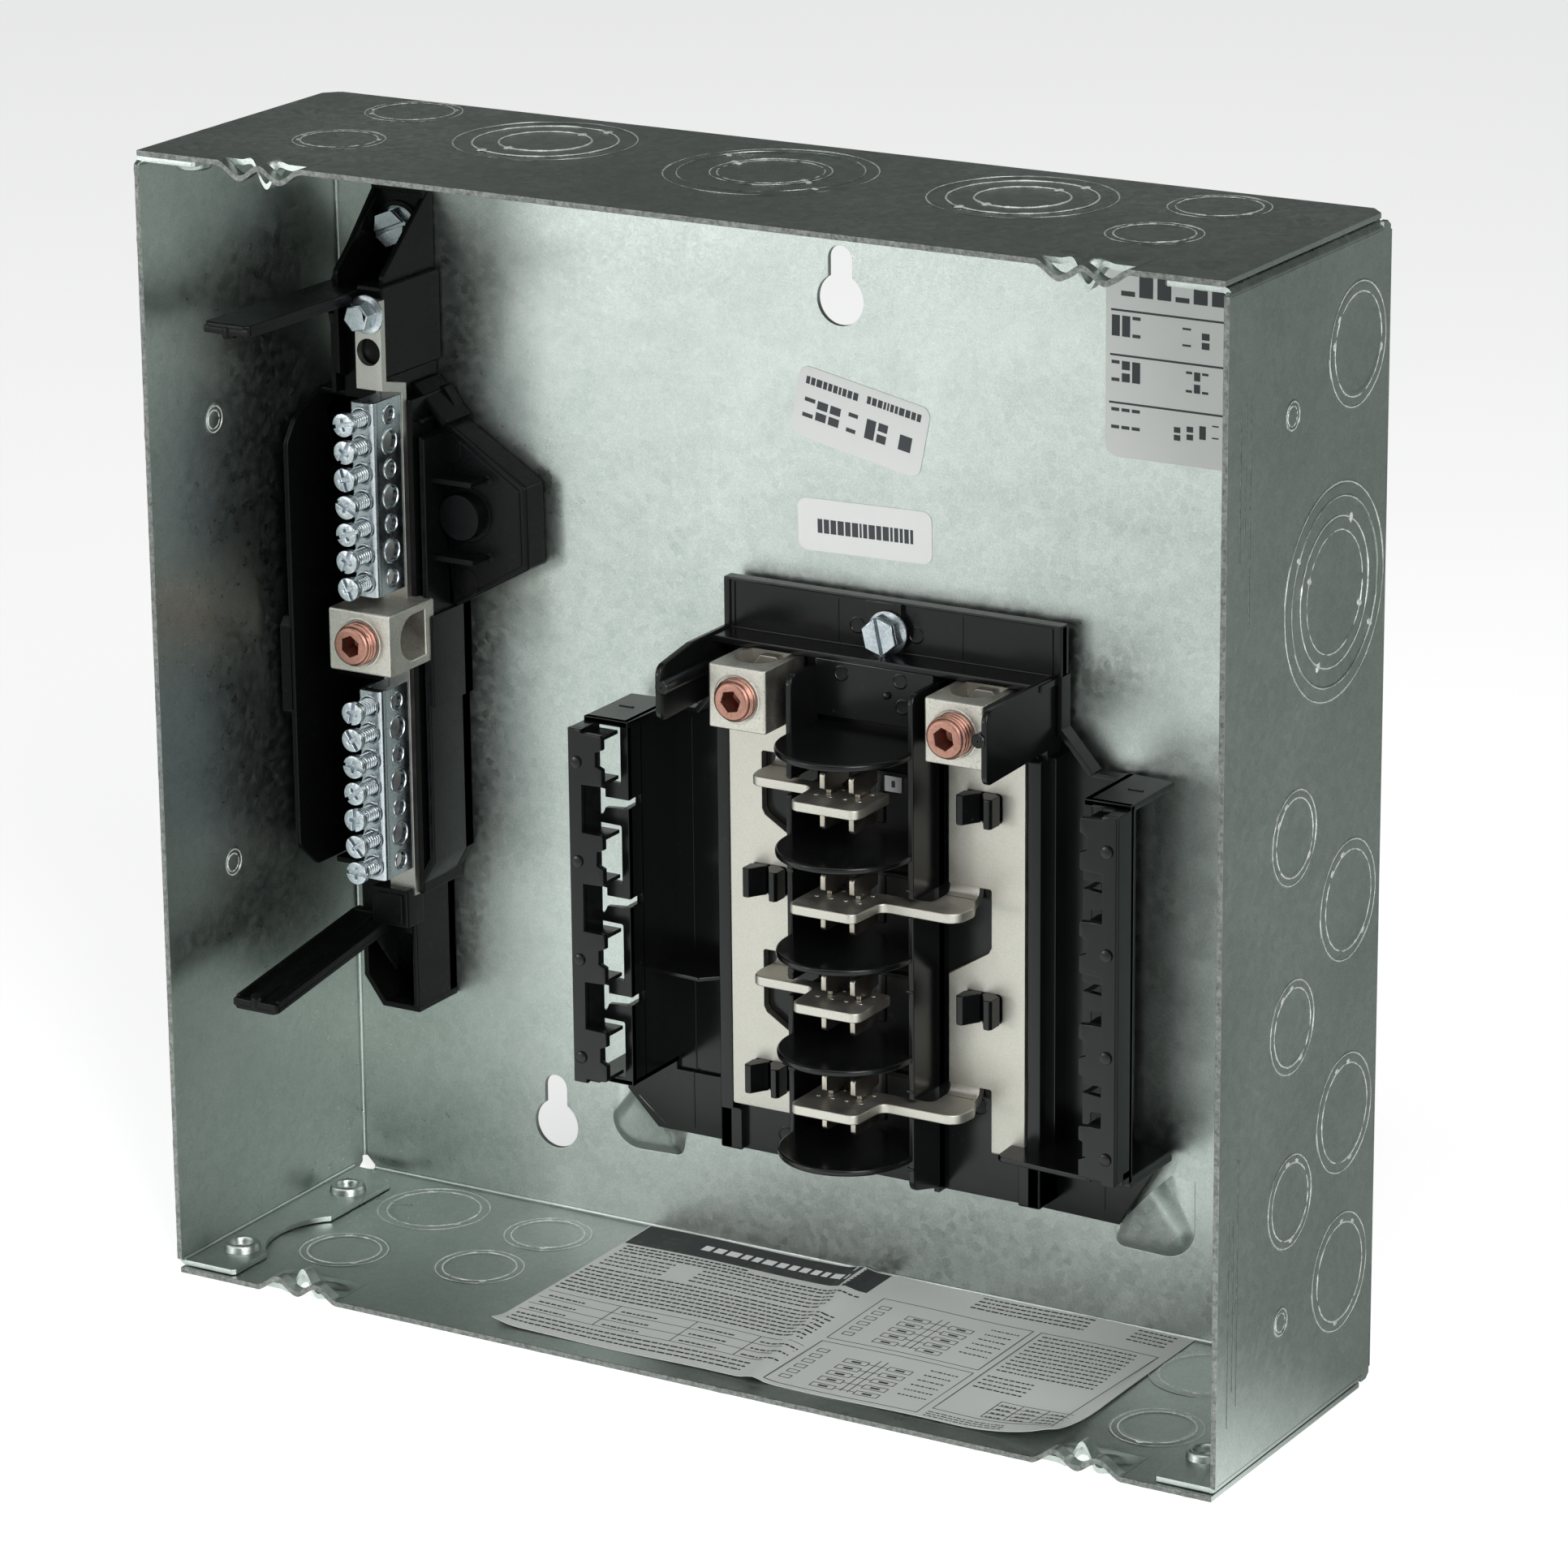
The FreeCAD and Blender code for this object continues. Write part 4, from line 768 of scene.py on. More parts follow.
def end_plate(place, knockouts, clinches, seed):
    """The top or bottom plate, with knockouts, clinch dimples and screw bosses."""
    s = Solid()
    open_holes = []
    for x, v, sheared, coined in knockouts:
        open_holes.append(knockout(s, place, x, v, sheared, coined, turn=40 + x))
    for x, v in clinches:
        open_holes.append(clinch_face(s, place, x, v))
    back, near = BEND, DEPTH - BOSS_BACK
    outline = [(-PLATE_W + 3.0, back), (PLATE_W - 3.0, back), (PLATE_W, back + 3.2)]
    outline += ragged((PLATE_W, back + 3.2), (PLATE_W, DEPTH), 2.2, 0.05, seed)[1:]
    run = (PLATE_W, DEPTH)
    for x in (109.0, -109.0):
        outline += ragged(run, (x + BOSS_HALF, DEPTH), 1.6, 0.06, seed + x)
        outline += [(x + BOSS_HALF, DEPTH), (x + BOSS_HALF, near), (x - BOSS_HALF, near)]
        run = (x - BOSS_HALF, DEPTH)
    outline += ragged(run, (-PLATE_W, DEPTH), 1.6, 0.06, seed)
    outline += ragged((-PLATE_W, DEPTH), (-PLATE_W, back + 3.2), 2.2, 0.05, seed + 9)
    outline += [(-PLATE_W, back + 3.2)]
    slab(s, place, outline, (), 0.0, SHEET, 0.16, 2, open_holes)
    for x in (109.0, -109.0):
        boss(s, place, x)
    return s


def side_wall(place, knockouts, seed):
    s = Solid()
    open_holes = []
    for u, v, sheared, coined in knockouts:
        open_holes.append(knockout(s, place, u, v, sheared, coined, turn=v * 3 + u))
    top, lip, back_end, front_end = 138.85, 140.6, 6.0, 81.4
    outline = [(BEND, -lip + 1.2), (BEND + 1.6, -lip), (back_end, -lip), (back_end, -top),
               (front_end, -top), (front_end, -lip + 0.8)]
    outline += ragged((DEPTH, -lip + 1.6), (DEPTH, lip - 1.6), 1.4, 0.09, seed)
    outline += [(DEPTH, lip - 1.6), (front_end, lip - 0.8), (front_end, top), (back_end, top),
                (back_end, lip), (BEND + 1.6, lip), (BEND, lip - 1.2)]
    slab(s, place, outline, (), 0.0, SHEET, 0.2, 3, open_holes)
    return s


def flange(s, sx, sz, clinches):
    """A side wall's inward flange, with its bend, and the clinch cups on it."""
    outer = 140.85
    radius = 2.0
    cx, cz = HALF_W - radius, outer - radius

    def along(stand, p, q):
        return (sx * p, -stand, sz * q)

    bend_strip(s, along, 6.0, 81.4, (cx, cz), (0, 90), radius - SHEET, radius, 8)

    def place(u, v, w):
        return (sx * u, -v, sz * (outer - w))

    inner = HALF_W - 16.5
    loop = [(cx, 6.0), (cx, 81.4), (inner + 0.8, 81.4), (inner, 80.6)]
    if sz < 0:
        ko_x, ko_v, reach = 114.9, 53.0, 19.6
        half = math.degrees(math.acos((inner - ko_x) / reach))
        loop += arc(ko_x, ko_v, reach, half, -half, 18)
    loop += [(inner, 12.0), (inner + 6, 6.0)]
    slab(s, place, loop, (), 0.0, SHEET, 0.2, 2)
    for x, v in clinches:
        if (x > 0) == (sx > 0):
            clinch_cup(s, place, abs(x), v, SHEET)


# drawn side of each pocket, its cut diagonal, and how far it rises
POCKETS = (
    ([(97.8, -100.3), (97.9, -121.0), (76.8, -120.4), (76.2, -116.0)],
     [(91.4, -99.8), (78.0, -114.6)], 4.0),
    ([(-66.0, -102.4), (-68.0, -121.0), (-46.4, -120.2), (-45.8, -116.6)],
     [(-59.4, -101.2), (-44.8, -113.4)], 4.3),
)


def pocket_edge(outline):
    return rounded(outline, [0] + [8.0] * (len(outline) - 2) + [0], 9)


def lanced_pocket(s, outline, diagonal, rise):
    """A corner of the back, lanced along a diagonal and drawn forward into a soft shell.
    outline runs round the drawn side from one end of the diagonal to the other."""
    path = pocket_edge(outline)
    count = len(path)
    start, end = Vector(diagonal[0]), Vector(diagonal[1])
    outer, under = [], []
    for i, point in enumerate(path):
        a = i / (count - 1)
        across = start.lerp(end, a)
        p = Vector(point)
        width = (across - p).length
        row, low = [], []
        for j in range(13):
            t = j / 12
            q = p.lerp(across, t)
            rim = 0.4 * smooth(min(1.0, t * width / 3.0)) + 0.6 * t
            lift = rise * rim * smooth(min(a, 1 - a) / 0.24)
            lift += 0.5 * smooth(min(a, 1 - a) / 0.24) * smooth((t - 0.8) / 0.2)
            row.append((q.x, -(SHEET + lift), q.y))
            low.append((q.x, -(max(0.5, lift)), q.y))
        outer.append(row)
        under.append(low)
    s.grid(outer)
    s.grid(under, flip=True)
    s.grid([[row[-1] for row in outer], [row[-1] for row in under]])
    s.grid([[row[0] for row in outer], [row[0] for row in under]])
    s.grid([outer[0], under[0]])
    s.grid([outer[-1], under[-1]])


def enclosure():
    s = Solid()
    w, h = HALF_W - BEND, HALF_H - BEND
    cut = 2.4
    outline = [(-w + cut, -h), (w - cut, -h), (w, -h + cut), (w, h - cut), (w - cut, h),
               (-w + cut, h), (-w, h - cut), (-w, -h + cut)]
    holes = [keyhole_loop(1.0, 105.6), keyhole_loop(-84.0, -118.6)]
    holes += [pocket_edge(edge) for edge, diagonal, rise in POCKETS]
    slab(s, on_back, outline, holes, 0.0, SHEET, 0.15, 2)
    inner = BEND - SHEET

    def lengthwise(t, p, q):
        return (t, -p, q)

    def upright(t, p, q):
        return (q, -p, t)

    bend_strip(s, lengthwise, -w + cut, w - cut, (BEND, h), (90, 180), inner, BEND)
    bend_strip(s, lengthwise, -w + cut, w - cut, (BEND, -h), (180, 270), inner, BEND)
    bend_strip(s, upright, -h + cut, h - cut, (BEND, w), (90, 180), inner, BEND)
    bend_strip(s, upright, -h + cut, h - cut, (BEND, -w), (180, 270), inner, BEND)
    for edge, diagonal, rise in POCKETS:
        lanced_pocket(s, edge, diagonal, rise)
    for plate in (end_plate(on_top, TOP, CLINCHES_TOP, 1.0),
                  end_plate(on_bottom, BOTTOM, CLINCHES_BOTTOM, 4.0),
                  side_wall(on_right, RIGHT, 2.0), side_wall(on_left, LEFT, 6.0)):
        s.add(plate.verts, plate.faces)
    for sx in (-1, 1):
        flange(s, sx, 1, CLINCHES_TOP)
        flange(s, sx, -1, CLINCHES_BOTTOM)
    obj = s.make("enclosure_shell", GALV, "galvanised_steel", crease=38)
    # the second slot is the darkened cut finish, painted shade on the front edges
    obj.data.materials.append(CUT_PAINTED_DARK)
    mark_cut_faces(obj)
    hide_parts("enclosure_box")
    scribes = Solid()
    for at, low, high in ((76.0, 78.0, 112.0), (73.6, 84.0, 113.5), (71.2, 62.0, 115.0),
                          (77.2, -126.0, -74.0), (75.0, -118.0, -76.0), (72.8, -122.0, -62.0)):
        slab(scribes, on_right, [(at, low), (at + 0.34, low), (at + 0.34, high), (at, high)], (),
             -0.07, 0.1, 0.05, 1)
    scribes.make("gauge_scribe_lines", CUT_PAINTED_DARK, "galvanised_steel")


def bead(s, place, cx, cy, radius, width, height, surface, sign, seed):
    """A narrow burr round a sheared ring; it wanders and changes height like real shearing."""
    count = max(40, int(radius * 7))
    rows = [[] for _ in range(5)]
    for j in range(count):
        a = 2 * math.pi * j / count
        wander = 0.10 * noise.noise((math.cos(a) * 4 + seed, math.sin(a) * 4, seed * 3.7))
        tall = 0.55 + 0.45 * noise.noise((math.cos(a) * 7 + seed, math.sin(a) * 7, 1.3 + seed))
        tall = height * 1.5 * max(0.25, min(1.2, tall * 1.5))
        for row, (off, up) in zip(rows, ((-0.5, -0.02), (-0.28, 0.75), (0, 1), (0.28, 0.75),
                                         (0.5, -0.02))):
            r = radius + wander + off * width
            row.append(place(cx + r * math.cos(a), cy + r * math.sin(a),
                             surface + sign * tall * up))
    s.grid(rows, close_u=True)


def burr(s, place, cx, cy, surface, sign, reach=1.3, tall=0.3, turn=0.0):
    """The small squeezed lump where a knockout stays tied to the sheet."""
    rings = []
    for share, up in ((1.0, -0.03), (0.8, 0.55), (0.45, 0.95), (0.12, 1.0)):
        row = []
        for j in range(14):
            a = 2 * math.pi * j / 14
            p, q = reach * share * math.cos(a), reach * 0.6 * share * math.sin(a)
            row.append(place(cx + p * math.cos(turn) - q * math.sin(turn),
                             cy + p * math.sin(turn) + q * math.cos(turn),
                             surface + sign * tall * up))
        rings.append(row)
    s.grid(rings, close_u=True)
    s.fan(rings[-1], place(cx, cy, surface + sign * tall))


def shear_rings():
    s = Solid()
    faces = ((on_right, RIGHT), (on_left, LEFT), (on_top, TOP), (on_bottom, BOTTOM))
    for index, (place, knockouts) in enumerate(faces):
        for k, (cx, cy, sheared, coined) in enumerate(knockouts):
            seed = index * 11.3 + k * 2.1
            outer = max(sheared)
            for surface, sign in ((0.0, -1), (SHEET, 1)):
                bead(s, place, cx, cy, outer, 0.42, 0.12, surface, sign, seed)
                if outer < 6:
                    bead(s, place, cx + 0.3, cy, outer * 0.7, 0.6, 0.16, surface, sign, seed)
                    continue
                if len(sheared) == 1:
                    bead(s, place, cx, cy, outer * 0.835, 0.62, 0.2, surface, sign, seed + 1)
                    for way in (0.15, math.pi + 0.25, 0.15 + 0.5):
                        burr(s, place, cx + outer * 0.87 * math.cos(way + seed * 0.1),
                             cy + outer * 0.87 * math.sin(way + seed * 0.1), surface, sign, 1.2,
                             0.28, way + seed * 0.1 + math.pi / 2)
                    continue
                for radius in list(sheared)[1:] + [coined[0]]:
                    bead(s, place, cx, cy, radius, 0.5, 0.17, surface, sign, seed + radius)
                    for quarter in range(4):
                        way = quarter * math.pi / 2 + 0.12 + radius * 0.02
                        if (quarter + int(radius)) % 2:
                            continue
                        burr(s, place, cx + radius * math.cos(way), cy + radius * math.sin(way),
                             surface, sign, 1.4, 0.34, way)
    # the rings take the brightened cut finish, a painted highlight over the real fresh-cut steel
    s.make("knockout_shear_rings", RING_PAINTED_BRIGHT, "galvanised_steel", crease=50)


def mark_cut_faces(obj):
    """Gives the cut finish to the narrow faces along the sheet's front edges; the finish is darkened, painted
    shade that holds down their reflection of the lights.
    """
    mesh = obj.data
    for polygon in mesh.polygons:
        if polygon.area > 6e-6:
            continue
        n, c = polygon.normal, polygon.center
        x, y, z = (value / MM for value in c)
        if y < -DEPTH + 0.25 and n.y < -0.3:
            polygon.material_index = 1


enclosure()
shear_rings()

# =====================================================================================
# carried-over CAD pieces with rounded edges
# =====================================================================================


def refined(node, material, slot, edge=0.25, body=PANEL, name=None, segments=2):
    """The CAD node's own form with its planes merged and its edges rounded."""
    source = frame["nodes"][node]
    mesh = source.data.copy()
    bm = bmesh.new()
    bm.from_mesh(mesh)
    bmesh.ops.remove_doubles(bm, verts=bm.verts, dist=1e-6)
    bmesh.ops.dissolve_limit(bm, angle_limit=math.radians(1.5), verts=bm.verts, edges=bm.edges)
    sharp = [e for e in bm.edges if len(e.link_faces) == 2
             and e.calc_face_angle(0) > math.radians(32)]
    if edge > 0:
        bmesh.ops.bevel(bm, geom=sharp, offset=edge * MM, segments=segments, profile=0.5,
                        affect="EDGES", clamp_overlap=True)
    bmesh.ops.triangulate(bm, faces=[f for f in bm.faces if len(f.verts) > 4])
    bm.to_mesh(mesh)
    bm.free()
    for polygon in mesh.polygons:
        polygon.use_smooth = True
    mesh.set_sharp_from_angle(angle=math.radians(34))
    obj = bpy.data.objects.new(name or node + "_shape", mesh)
    bpy.context.scene.collection.objects.link(obj)
    obj.data.materials.clear()
    obj.data.materials.append(material)
    level_faces(obj)
    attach(obj, body)
    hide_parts(node)
    return obj



# =====================================================================================
# the breaker base
# =====================================================================================

BX = 18.0
PITCH = 25.4
STAB_Z = [-8.3 - PITCH * k for k in range(4)]


def bar(s, a, b, width, y0, y1, edge=0.2):
    """A straight rib between two (x, z) points."""
    a, b = Vector(a), Vector(b)
    n = Vector((-(b - a).y, (b - a).x)).normalized() * width / 2
    loop = [tuple(a - n), tuple(b - n), tuple(b + n), tuple(a + n)]
    slab(s, front, loop, (), min(-y0, -y1), max(-y0, -y1), edge)


def disc(s, x, z, radius, y, rise, soft=0.15, count=28):
    """A low round boss on a face that looks toward -Y."""
    profile = [(radius, -0.3), (radius, rise - soft), (radius - soft * 0.4, rise - soft * 0.3),
               (radius - soft, rise)]
    lathe(s, profile, (x, y, z), "y", count)
    s.fan([(x + p, y - rise, z + q) for p, q in ring(0, 0, radius - soft, count)],
          (x, y - rise, z))


def ejector_ring(s, x, z, radius, y):
    """The faint round witness of an ejector pin."""
    profile = [(radius + 0.35, -0.05), (radius + 0.12, 0.12), (radius - 0.08, 0.14),
               (radius - 0.2, 0.02), (radius - 0.5, 0.0)]
    lathe(s, profile, (x, y, z), "y", 30)
    s.fan([(x + p, y, z + q) for p, q in ring(0, 0, radius - 0.5, 30)], (x, y - 0.01, z))


def mirrored(side, x):
    return BX + side * x


def side_loop(side, points):
    loop = [(mirrored(side, x), z) for x, z in points]
    return loop if side > 0 else loop[::-1]


def base_floor():
    s = Solid()
    right = [(46.4, 22.9), (46.4, 9.0), (54.4, -0.4), (62.9, -0.4), (62.9, -93.0), (77.6, -93.0),
             (77.6, -102.8), (68.6, -111.8)]
    short = right[:5] + [(74.4, -93.0), (73.0, -95.2), (61.6, -113.2)]
    outline = [(BX + x, z) for x, z in short] + [(BX - x, z) for x, z in right[::-1]]
    slab(s, front, outline, (), 3.5, 4.8, 0.2)
    for side in (-1, 1):
        low = [(20, -95.2), (62.8, -95.2), (62.8, -92.9), (77.5, -92.9), (77.5, -102.8),
               (68.6, -111.7), (20, -111.7)]
        if side > 0:
            low[3:6] = [(74.3, -92.9), (72.9, -95.1), (61.7, -113.1)]
            low[6] = (20, -112.2)
        slab(s, front, side_loop(side, low), (), 4.0, 6.1, 0.25)
        bar(s, (mirrored(side, 57.9), -3), (mirrored(side, 57.9), -110), 0.35, -4.6, -5.05, 0.1)
        bar(s, (mirrored(side, 57.9), -95), (mirrored(side, 57.9), -110), 0.35, -5.9, -6.3, 0.1)
        bar(s, (mirrored(side, 46.0), 9.6), (mirrored(side, 54.6), 0.0), 1.5, -3.6, -8.2)
        bar(s, (mirrored(side, 46.0), 22.9), (mirrored(side, 46.0), 8.5), 1.3, -3.6, -8.0)
        bar(s, (mirrored(side, 54.0), -0.3), (mirrored(side, 63.0), -0.3), 1.2, -3.6, -7.0)
        box(s, mirrored(side, 41.2), mirrored(side, 44.9), -15.0, -4.0, -109.6, 3.5, 0.5)
        box(s, mirrored(side, 38.8), mirrored(side, 44.9), -15.0, -4.0, -109.6, -98.6, 0.5)
        box(s, mirrored(side, 43.6), mirrored(side, 46.4), -10.2, -4.0, -97.0, 3.5, 0.3)
    seat = [(43, 4.0), (43, -109.8), (-43, -109.8), (-43, 4.0)]
    slab(s, front, [(BX + x, z) for x, z in seat], (), 4.0, 12.85, 0.3)
    # the raised plate between the lugs, and the ledge under the flange
    slab(s, front, rounded([(BX - 44, 3.0), (BX + 44, 3.0), (BX + 44, 21.4), (BX - 44, 21.4)], 0.4),
         (), 4.0, 10.7, 0.25)
    slab(s, front, [(1.8, 6.8), (34.2, 6.8), (34.2, 21.0), (1.8, 21.0)], (), 8.0, 15.9, 0.35)
    slab(s, front, [(1.8, 3.0), (34.2, 3.0), (34.2, 8.0), (1.8, 8.0)], (), 8.0, 12.9, 0.2)
    box(s, BX - 45.6, BX + 45.6, -16.2, -5.0, 20.9, 22.7, 0.35)
    for x, z, radius in ((25.2, 18.3, 1.75), (25.8, 12.0, 1.75), (9.0, 18.0, 1.75)):
        ejector_ring(s, x, z, radius, -15.9)
    disc(s, 21.7, 14.3, 0.9, -15.9, 0.9, 0.25, 16)
    ejector_ring(s, 45.2, -86.6, 2.0, -12.86)
    ejector_ring(s, -9.2, -104.0, 2.0, -12.86)
    s.make("base_floor", BLACK, "black_moulding")
    DONE.add("interior_base")


def base_flange():
    s = Solid()
    left, right, low, high = BX - 46.4, BX + 46.4, 22.4, 35.1
    slab(s, front, rounded([(left, low), (right, low), (right, high), (left, high)], 0.3), (),
         4.2, 7.45, 0.25)
    box(s, left, left + 1.7, -8.0, -5.0, low, high, 0.3)
    box(s, right - 1.7, right, -8.0, -5.0, low, high, 0.3)
    box(s, left + 2.4, left + 3.0, -7.8, -5.0, low, high - 1.0, 0.15)
    box(s, right - 3.0, right - 2.4, -7.8, -5.0, low, high - 1.0, 0.15)
    box(s, left, right, -7.9, -4.4, high - 0.55, high + 0.1, 0.2)
    box(s, left, right, -7.9, -4.4, low, low + 0.6, 0.2)
    slab(s, front, [(11.7, low), (21.5, low), (21.5, 34.9), (11.7, 34.9)],
         [ring(18.0, 27.7, 2.4, 24)], 7.0, 8.8, 0.25)
    for x, z in ((8.7, 27.9), (24.9, 27.5)):
        ejector_ring(s, x, z, 1.9, -7.45)
    for x in (3.5, 37.6):
        bar(s, (x, 23.4), (x, 33.9), 0.28, -7.3, -7.62, 0.08)
    s.make("base_top_flange", BLACK, "black_moulding")


def base_lug_walls():
    s = Solid()
    walls = ((-1, 45.4, 7.0, 20.9, -40.6), (1, 44.3, 4.7, 23.0, -42.0))
    for hand, off, low, top, y_front in walls:
        x = mirrored(hand, off)
        loop = [(-4.5, low + 1.0), (y_front, low), (y_front, top), (-26.0, 23.3), (-4.5, 23.3)]
        slab(s, side, rounded(loop, [0, 2.4, 3.0, 6.0, 0], 6), (), x - 0.8, x + 0.8, 0.45, 3)
        lathe(s, [(0.2, 1.0), (1.45, 0.98), (1.75, 0.75), (1.8, 0.3), (1.8, -28)],
              (x - hand * 1.3, y_front + 0.4, 15.9), "y", 24)
        box(s, x - hand * 1.0 - 0.5, x - hand * 1.0 + 0.5, y_front + 6, -8, 15.0, 16.8, 0.2)
    # the right wall's foot curves in to the seat
    box(s, BX + 42.6, BX + 45.0, -12.0, -5.0, -0.6, 8.0, 0.5)
    box(s, BX - 45.0, BX - 42.6, -12.0, -5.0, -0.6, 8.0, 0.5)
    s.make("base_lug_walls", BLACK, "black_moulding")


def base_channel():
    s = Solid()
    for hand in (-1, 1):
        x = mirrored(hand, 16.7)
        gap = [z for k, z in enumerate(STAB_Z) if (k % 2 == 0) == (hand < 0)]
        tops = [19.4] + [z - 1.9 for z in gap]
        lows = [z + 1.9 for z in gap] + [-105.4]
        for i, (high, low) in enumerate(zip(tops, lows)):
            first, last = i == 0, i == len(tops) - 1
            loop = [(-10.0, low if not last else -110.2), (-28.0, low), (-28.0, high),
                    (-10.0, high)]
            slab(s, side, rounded(loop, [0, 3.0 if last else 0.7, 2.6 if first else 0.7, 0], 6),
                 (), x - 0.78, x + 0.78, 0.4, 3)
        box(s, x - 0.78, x + 0.78, -15.5, -8.0, -110.0, 19.0, 0.2)
        for z in [z0 + 4.4 for z0 in STAB_Z[1:]] + [-100.0]:
            box(s, x - hand * 0.2 - 0.95, x - hand * 0.2 + 0.95, -28.2, -14, z - 0.4, z + 0.4, 0.2)
    for k in range(5):
        z = 4.35 - PITCH * k
        nose = arc(BX, -29.4, 17.1, 180, 360, 56)
        loop = [(BX + 17.1, -12.0)] + [(BX - 17.1, -12.0)] + nose
        slab(s, flat, loop, (), z - 0.85, z + 0.85, 0.55, 3)
    for k in range(4):
        z = STAB_Z[k]
        box(s, BX - 15.8, BX + 15.8, -14.2, -9.0, z + 1.9, z + 2.9, 0.2)
        box(s, BX - 1.3, BX + 1.3, -13.5, -9.0, z - 10.5, z + 10.5, 0.3)
    s.make("base_stab_channel", BLACK, "black_moulding")
    tag = Solid()
    slab(tag, front, rounded([(19.2, -10.6), (24.0, -10.6), (24.0, -6.6), (19.2, -6.6)], 0.3),
         (), 13.0, 13.2, 0.05, 1)
    tag.make("space_tag", PAPER, "label_paper")
    dash = Solid()
    for x, z, w, h in ((21.2, -8.6, 1.0, 1.7),):
        slab(dash, front, rounded([(x, z - h / 2), (x + w, z - h / 2), (x + w, z + h / 2),
                                   (x, z + h / 2)], 0.25), (), 13.15, 13.24, 0.02, 1)
    dash.make("space_tag_mark", INK, "label_paper")


def rail(hand, name):
    """One breaker rail: ladder face with windows and T-slots, inner wall and hook wall."""
    s = Solid()
    top, low = 0.7, -93.2
    inner, outer = 62.7, 75.2
    windows = []
    for k in range(4):
        z = -PITCH * k
        windows.append([(64.9, z - 15.3), (71.0, z - 14.8), (73.2, z - 13.2), (73.2, z - 2.0),
                        (70.8, z - 0.5), (64.9, z - 0.6)])
    loops = [rounded(side_loop(hand, w), 0.5, 3) for w in windows]
    outline = [(inner, low), (outer, low), (outer, top), (inner, top)]
    slots = []
    for k in range(3):
        z = -PITCH * k
        slots.append([(inner, z - 21.3), (69.4, z - 21.9), (70.2, z - 23.6), (72.9, z - 24.3),
                      (72.9, z - 17.6), (71.9, z - 16.9), (69.4, z - 17.2), (69.4, z - 19.2),
                      (inner, z - 19.2)])
    edge = [(outer, low), (outer, top), (inner, top)]
    for slot in slots:
        edge += slot[::-1]
    edge += [(inner, low)]
    slab(s, front, side_loop(hand, edge), loops, 25.2, 27.0, 0.22)
    z_last = top
    spans = []
    for k in range(3):
        spans.append((-PITCH * k - 19.2, z_last))
        z_last = -PITCH * k - 21.3
    spans.append((low, z_last))
    for a, b in spans:
        box(s, mirrored(hand, inner), mirrored(hand, inner + 1.7), -26.9, -20.5, a, b, 0.2)
    box(s, mirrored(hand, inner), mirrored(hand, inner + 1.7), -21.2, -3.6, low, top, 0.2)
    slab(s, flat, rounded([(mirrored(hand, inner), -27.0), (mirrored(hand, outer), -27.0),
                           (mirrored(hand, outer), -5.0), (mirrored(hand, inner - 1.0), -4.0)],
                          0.3), (), top - 1.6, top, 0.25)
    box(s, mirrored(hand, 68.2), mirrored(hand, 72.2), -15.6, -14.8, top - 0.3, top + 0.25, 0.1)
    box(s, mirrored(hand, inner), mirrored(hand, outer), -27.0, -5.0, low, low + 1.5, 0.25)
    # hook wall with its teeth, in front of the ladder's outer edge
    teeth = [(outer, -91.6), (outer, -0.3), (71.5, -0.3), (71.5, -1.2)]
    for k in range(4):
        z = -PITCH * k
        teeth += [(66.0, z - 1.3), (65.6, z - 1.8), (65.6, z - 4.9), (67.4, z - 5.7),
                  (67.4, z - 9.1), (65.6, z - 9.9), (65.6, z - 13.7), (66.0, z - 14.2),
                  (71.5, z - 14.4)]
        if k < 3:
            teeth += [(71.5, z - 26.5)]
    teeth += [(71.5, -91.6)]
    slab(s, front, side_loop(hand, teeth), (), 32.6, 34.5, 0.3)
    box(s, mirrored(hand, 71.5), mirrored(hand, outer), -33.5, -25.4, -91.6, -0.3, 0.3)
    box(s, mirrored(hand, 70.6), mirrored(hand, outer), -30.0, -25.4, -92.8, -89.4, 0.25)
    for k in range(4):
        z = -8.7 - PITCH * k
        disc(s, mirrored(hand, 72.9), z, 1.55, -34.5, 0.55, 0.2)
        for dz in (-5.3, 6.2):
            box(s, mirrored(hand, 66.2), mirrored(hand, 71.6), -33.0, -25.6, z + dz - 0.5,
                z + dz + 0.5, 0.2)
    if hand < 0:
        shelf = [(BX - 62.9, -4.5), (BX - 62.9, -17.4), (BX - 48.6, -18.6), (BX - 44.6, -15.0),
                 (BX - 44.6, -4.5)]
        slab(s, flat, rounded(shelf, [0, 0, 1.0, 0, 0]), (), -66.1, -65.0, 0.25)
    else:
        shelf = [(BX + 37.0, -13.0), (BX + 37.5, -22.5), (BX + 39.0, -24.0), (BX + 64.0, -25.5),
                 (BX + 64.0, -4.5), (BX + 44, -4.5)]
        slab(s, flat, rounded(shelf, [0, 0.5, 0.5, 0, 0, 0]), (), -95.3, -94.0, 0.25)
        box(s, BX + 63.0, BX + 75.2, -26.0, -4.5, -94.6, -93.0, 0.25)
    s.make(name, BLACK, "black_moulding")


def clips():
    s = Solid()
    places = [(-1, -37.3), (1, -9.6), (-1, -88.0), (1, -60.0)]
    for hand, z in places:
        x = mirrored(hand, 29.7)
        for way in (-1, 1):
            shape = [(0.25, 12.0), (0.25, 16.8), (0.9, 17.6), (2.9, 20.9), (4.3, 21.0), (4.9, 20.2),
                     (4.9, 16.4), (3.4, 15.6), (3.1, 12.0)]
            loop = [(x + way * u, -v) for u, v in shape]
            slab(s, flat, rounded(loop, 0.3, 3), (), z - 3.7, z + 3.7, 0.3, 3)
        box(s, x - 1.2, x + 1.2, -15.2, -12.0, z - 2.9, z + 2.9, 0.2)
    s.make("bus_clips", BLACK, "black_moulding")


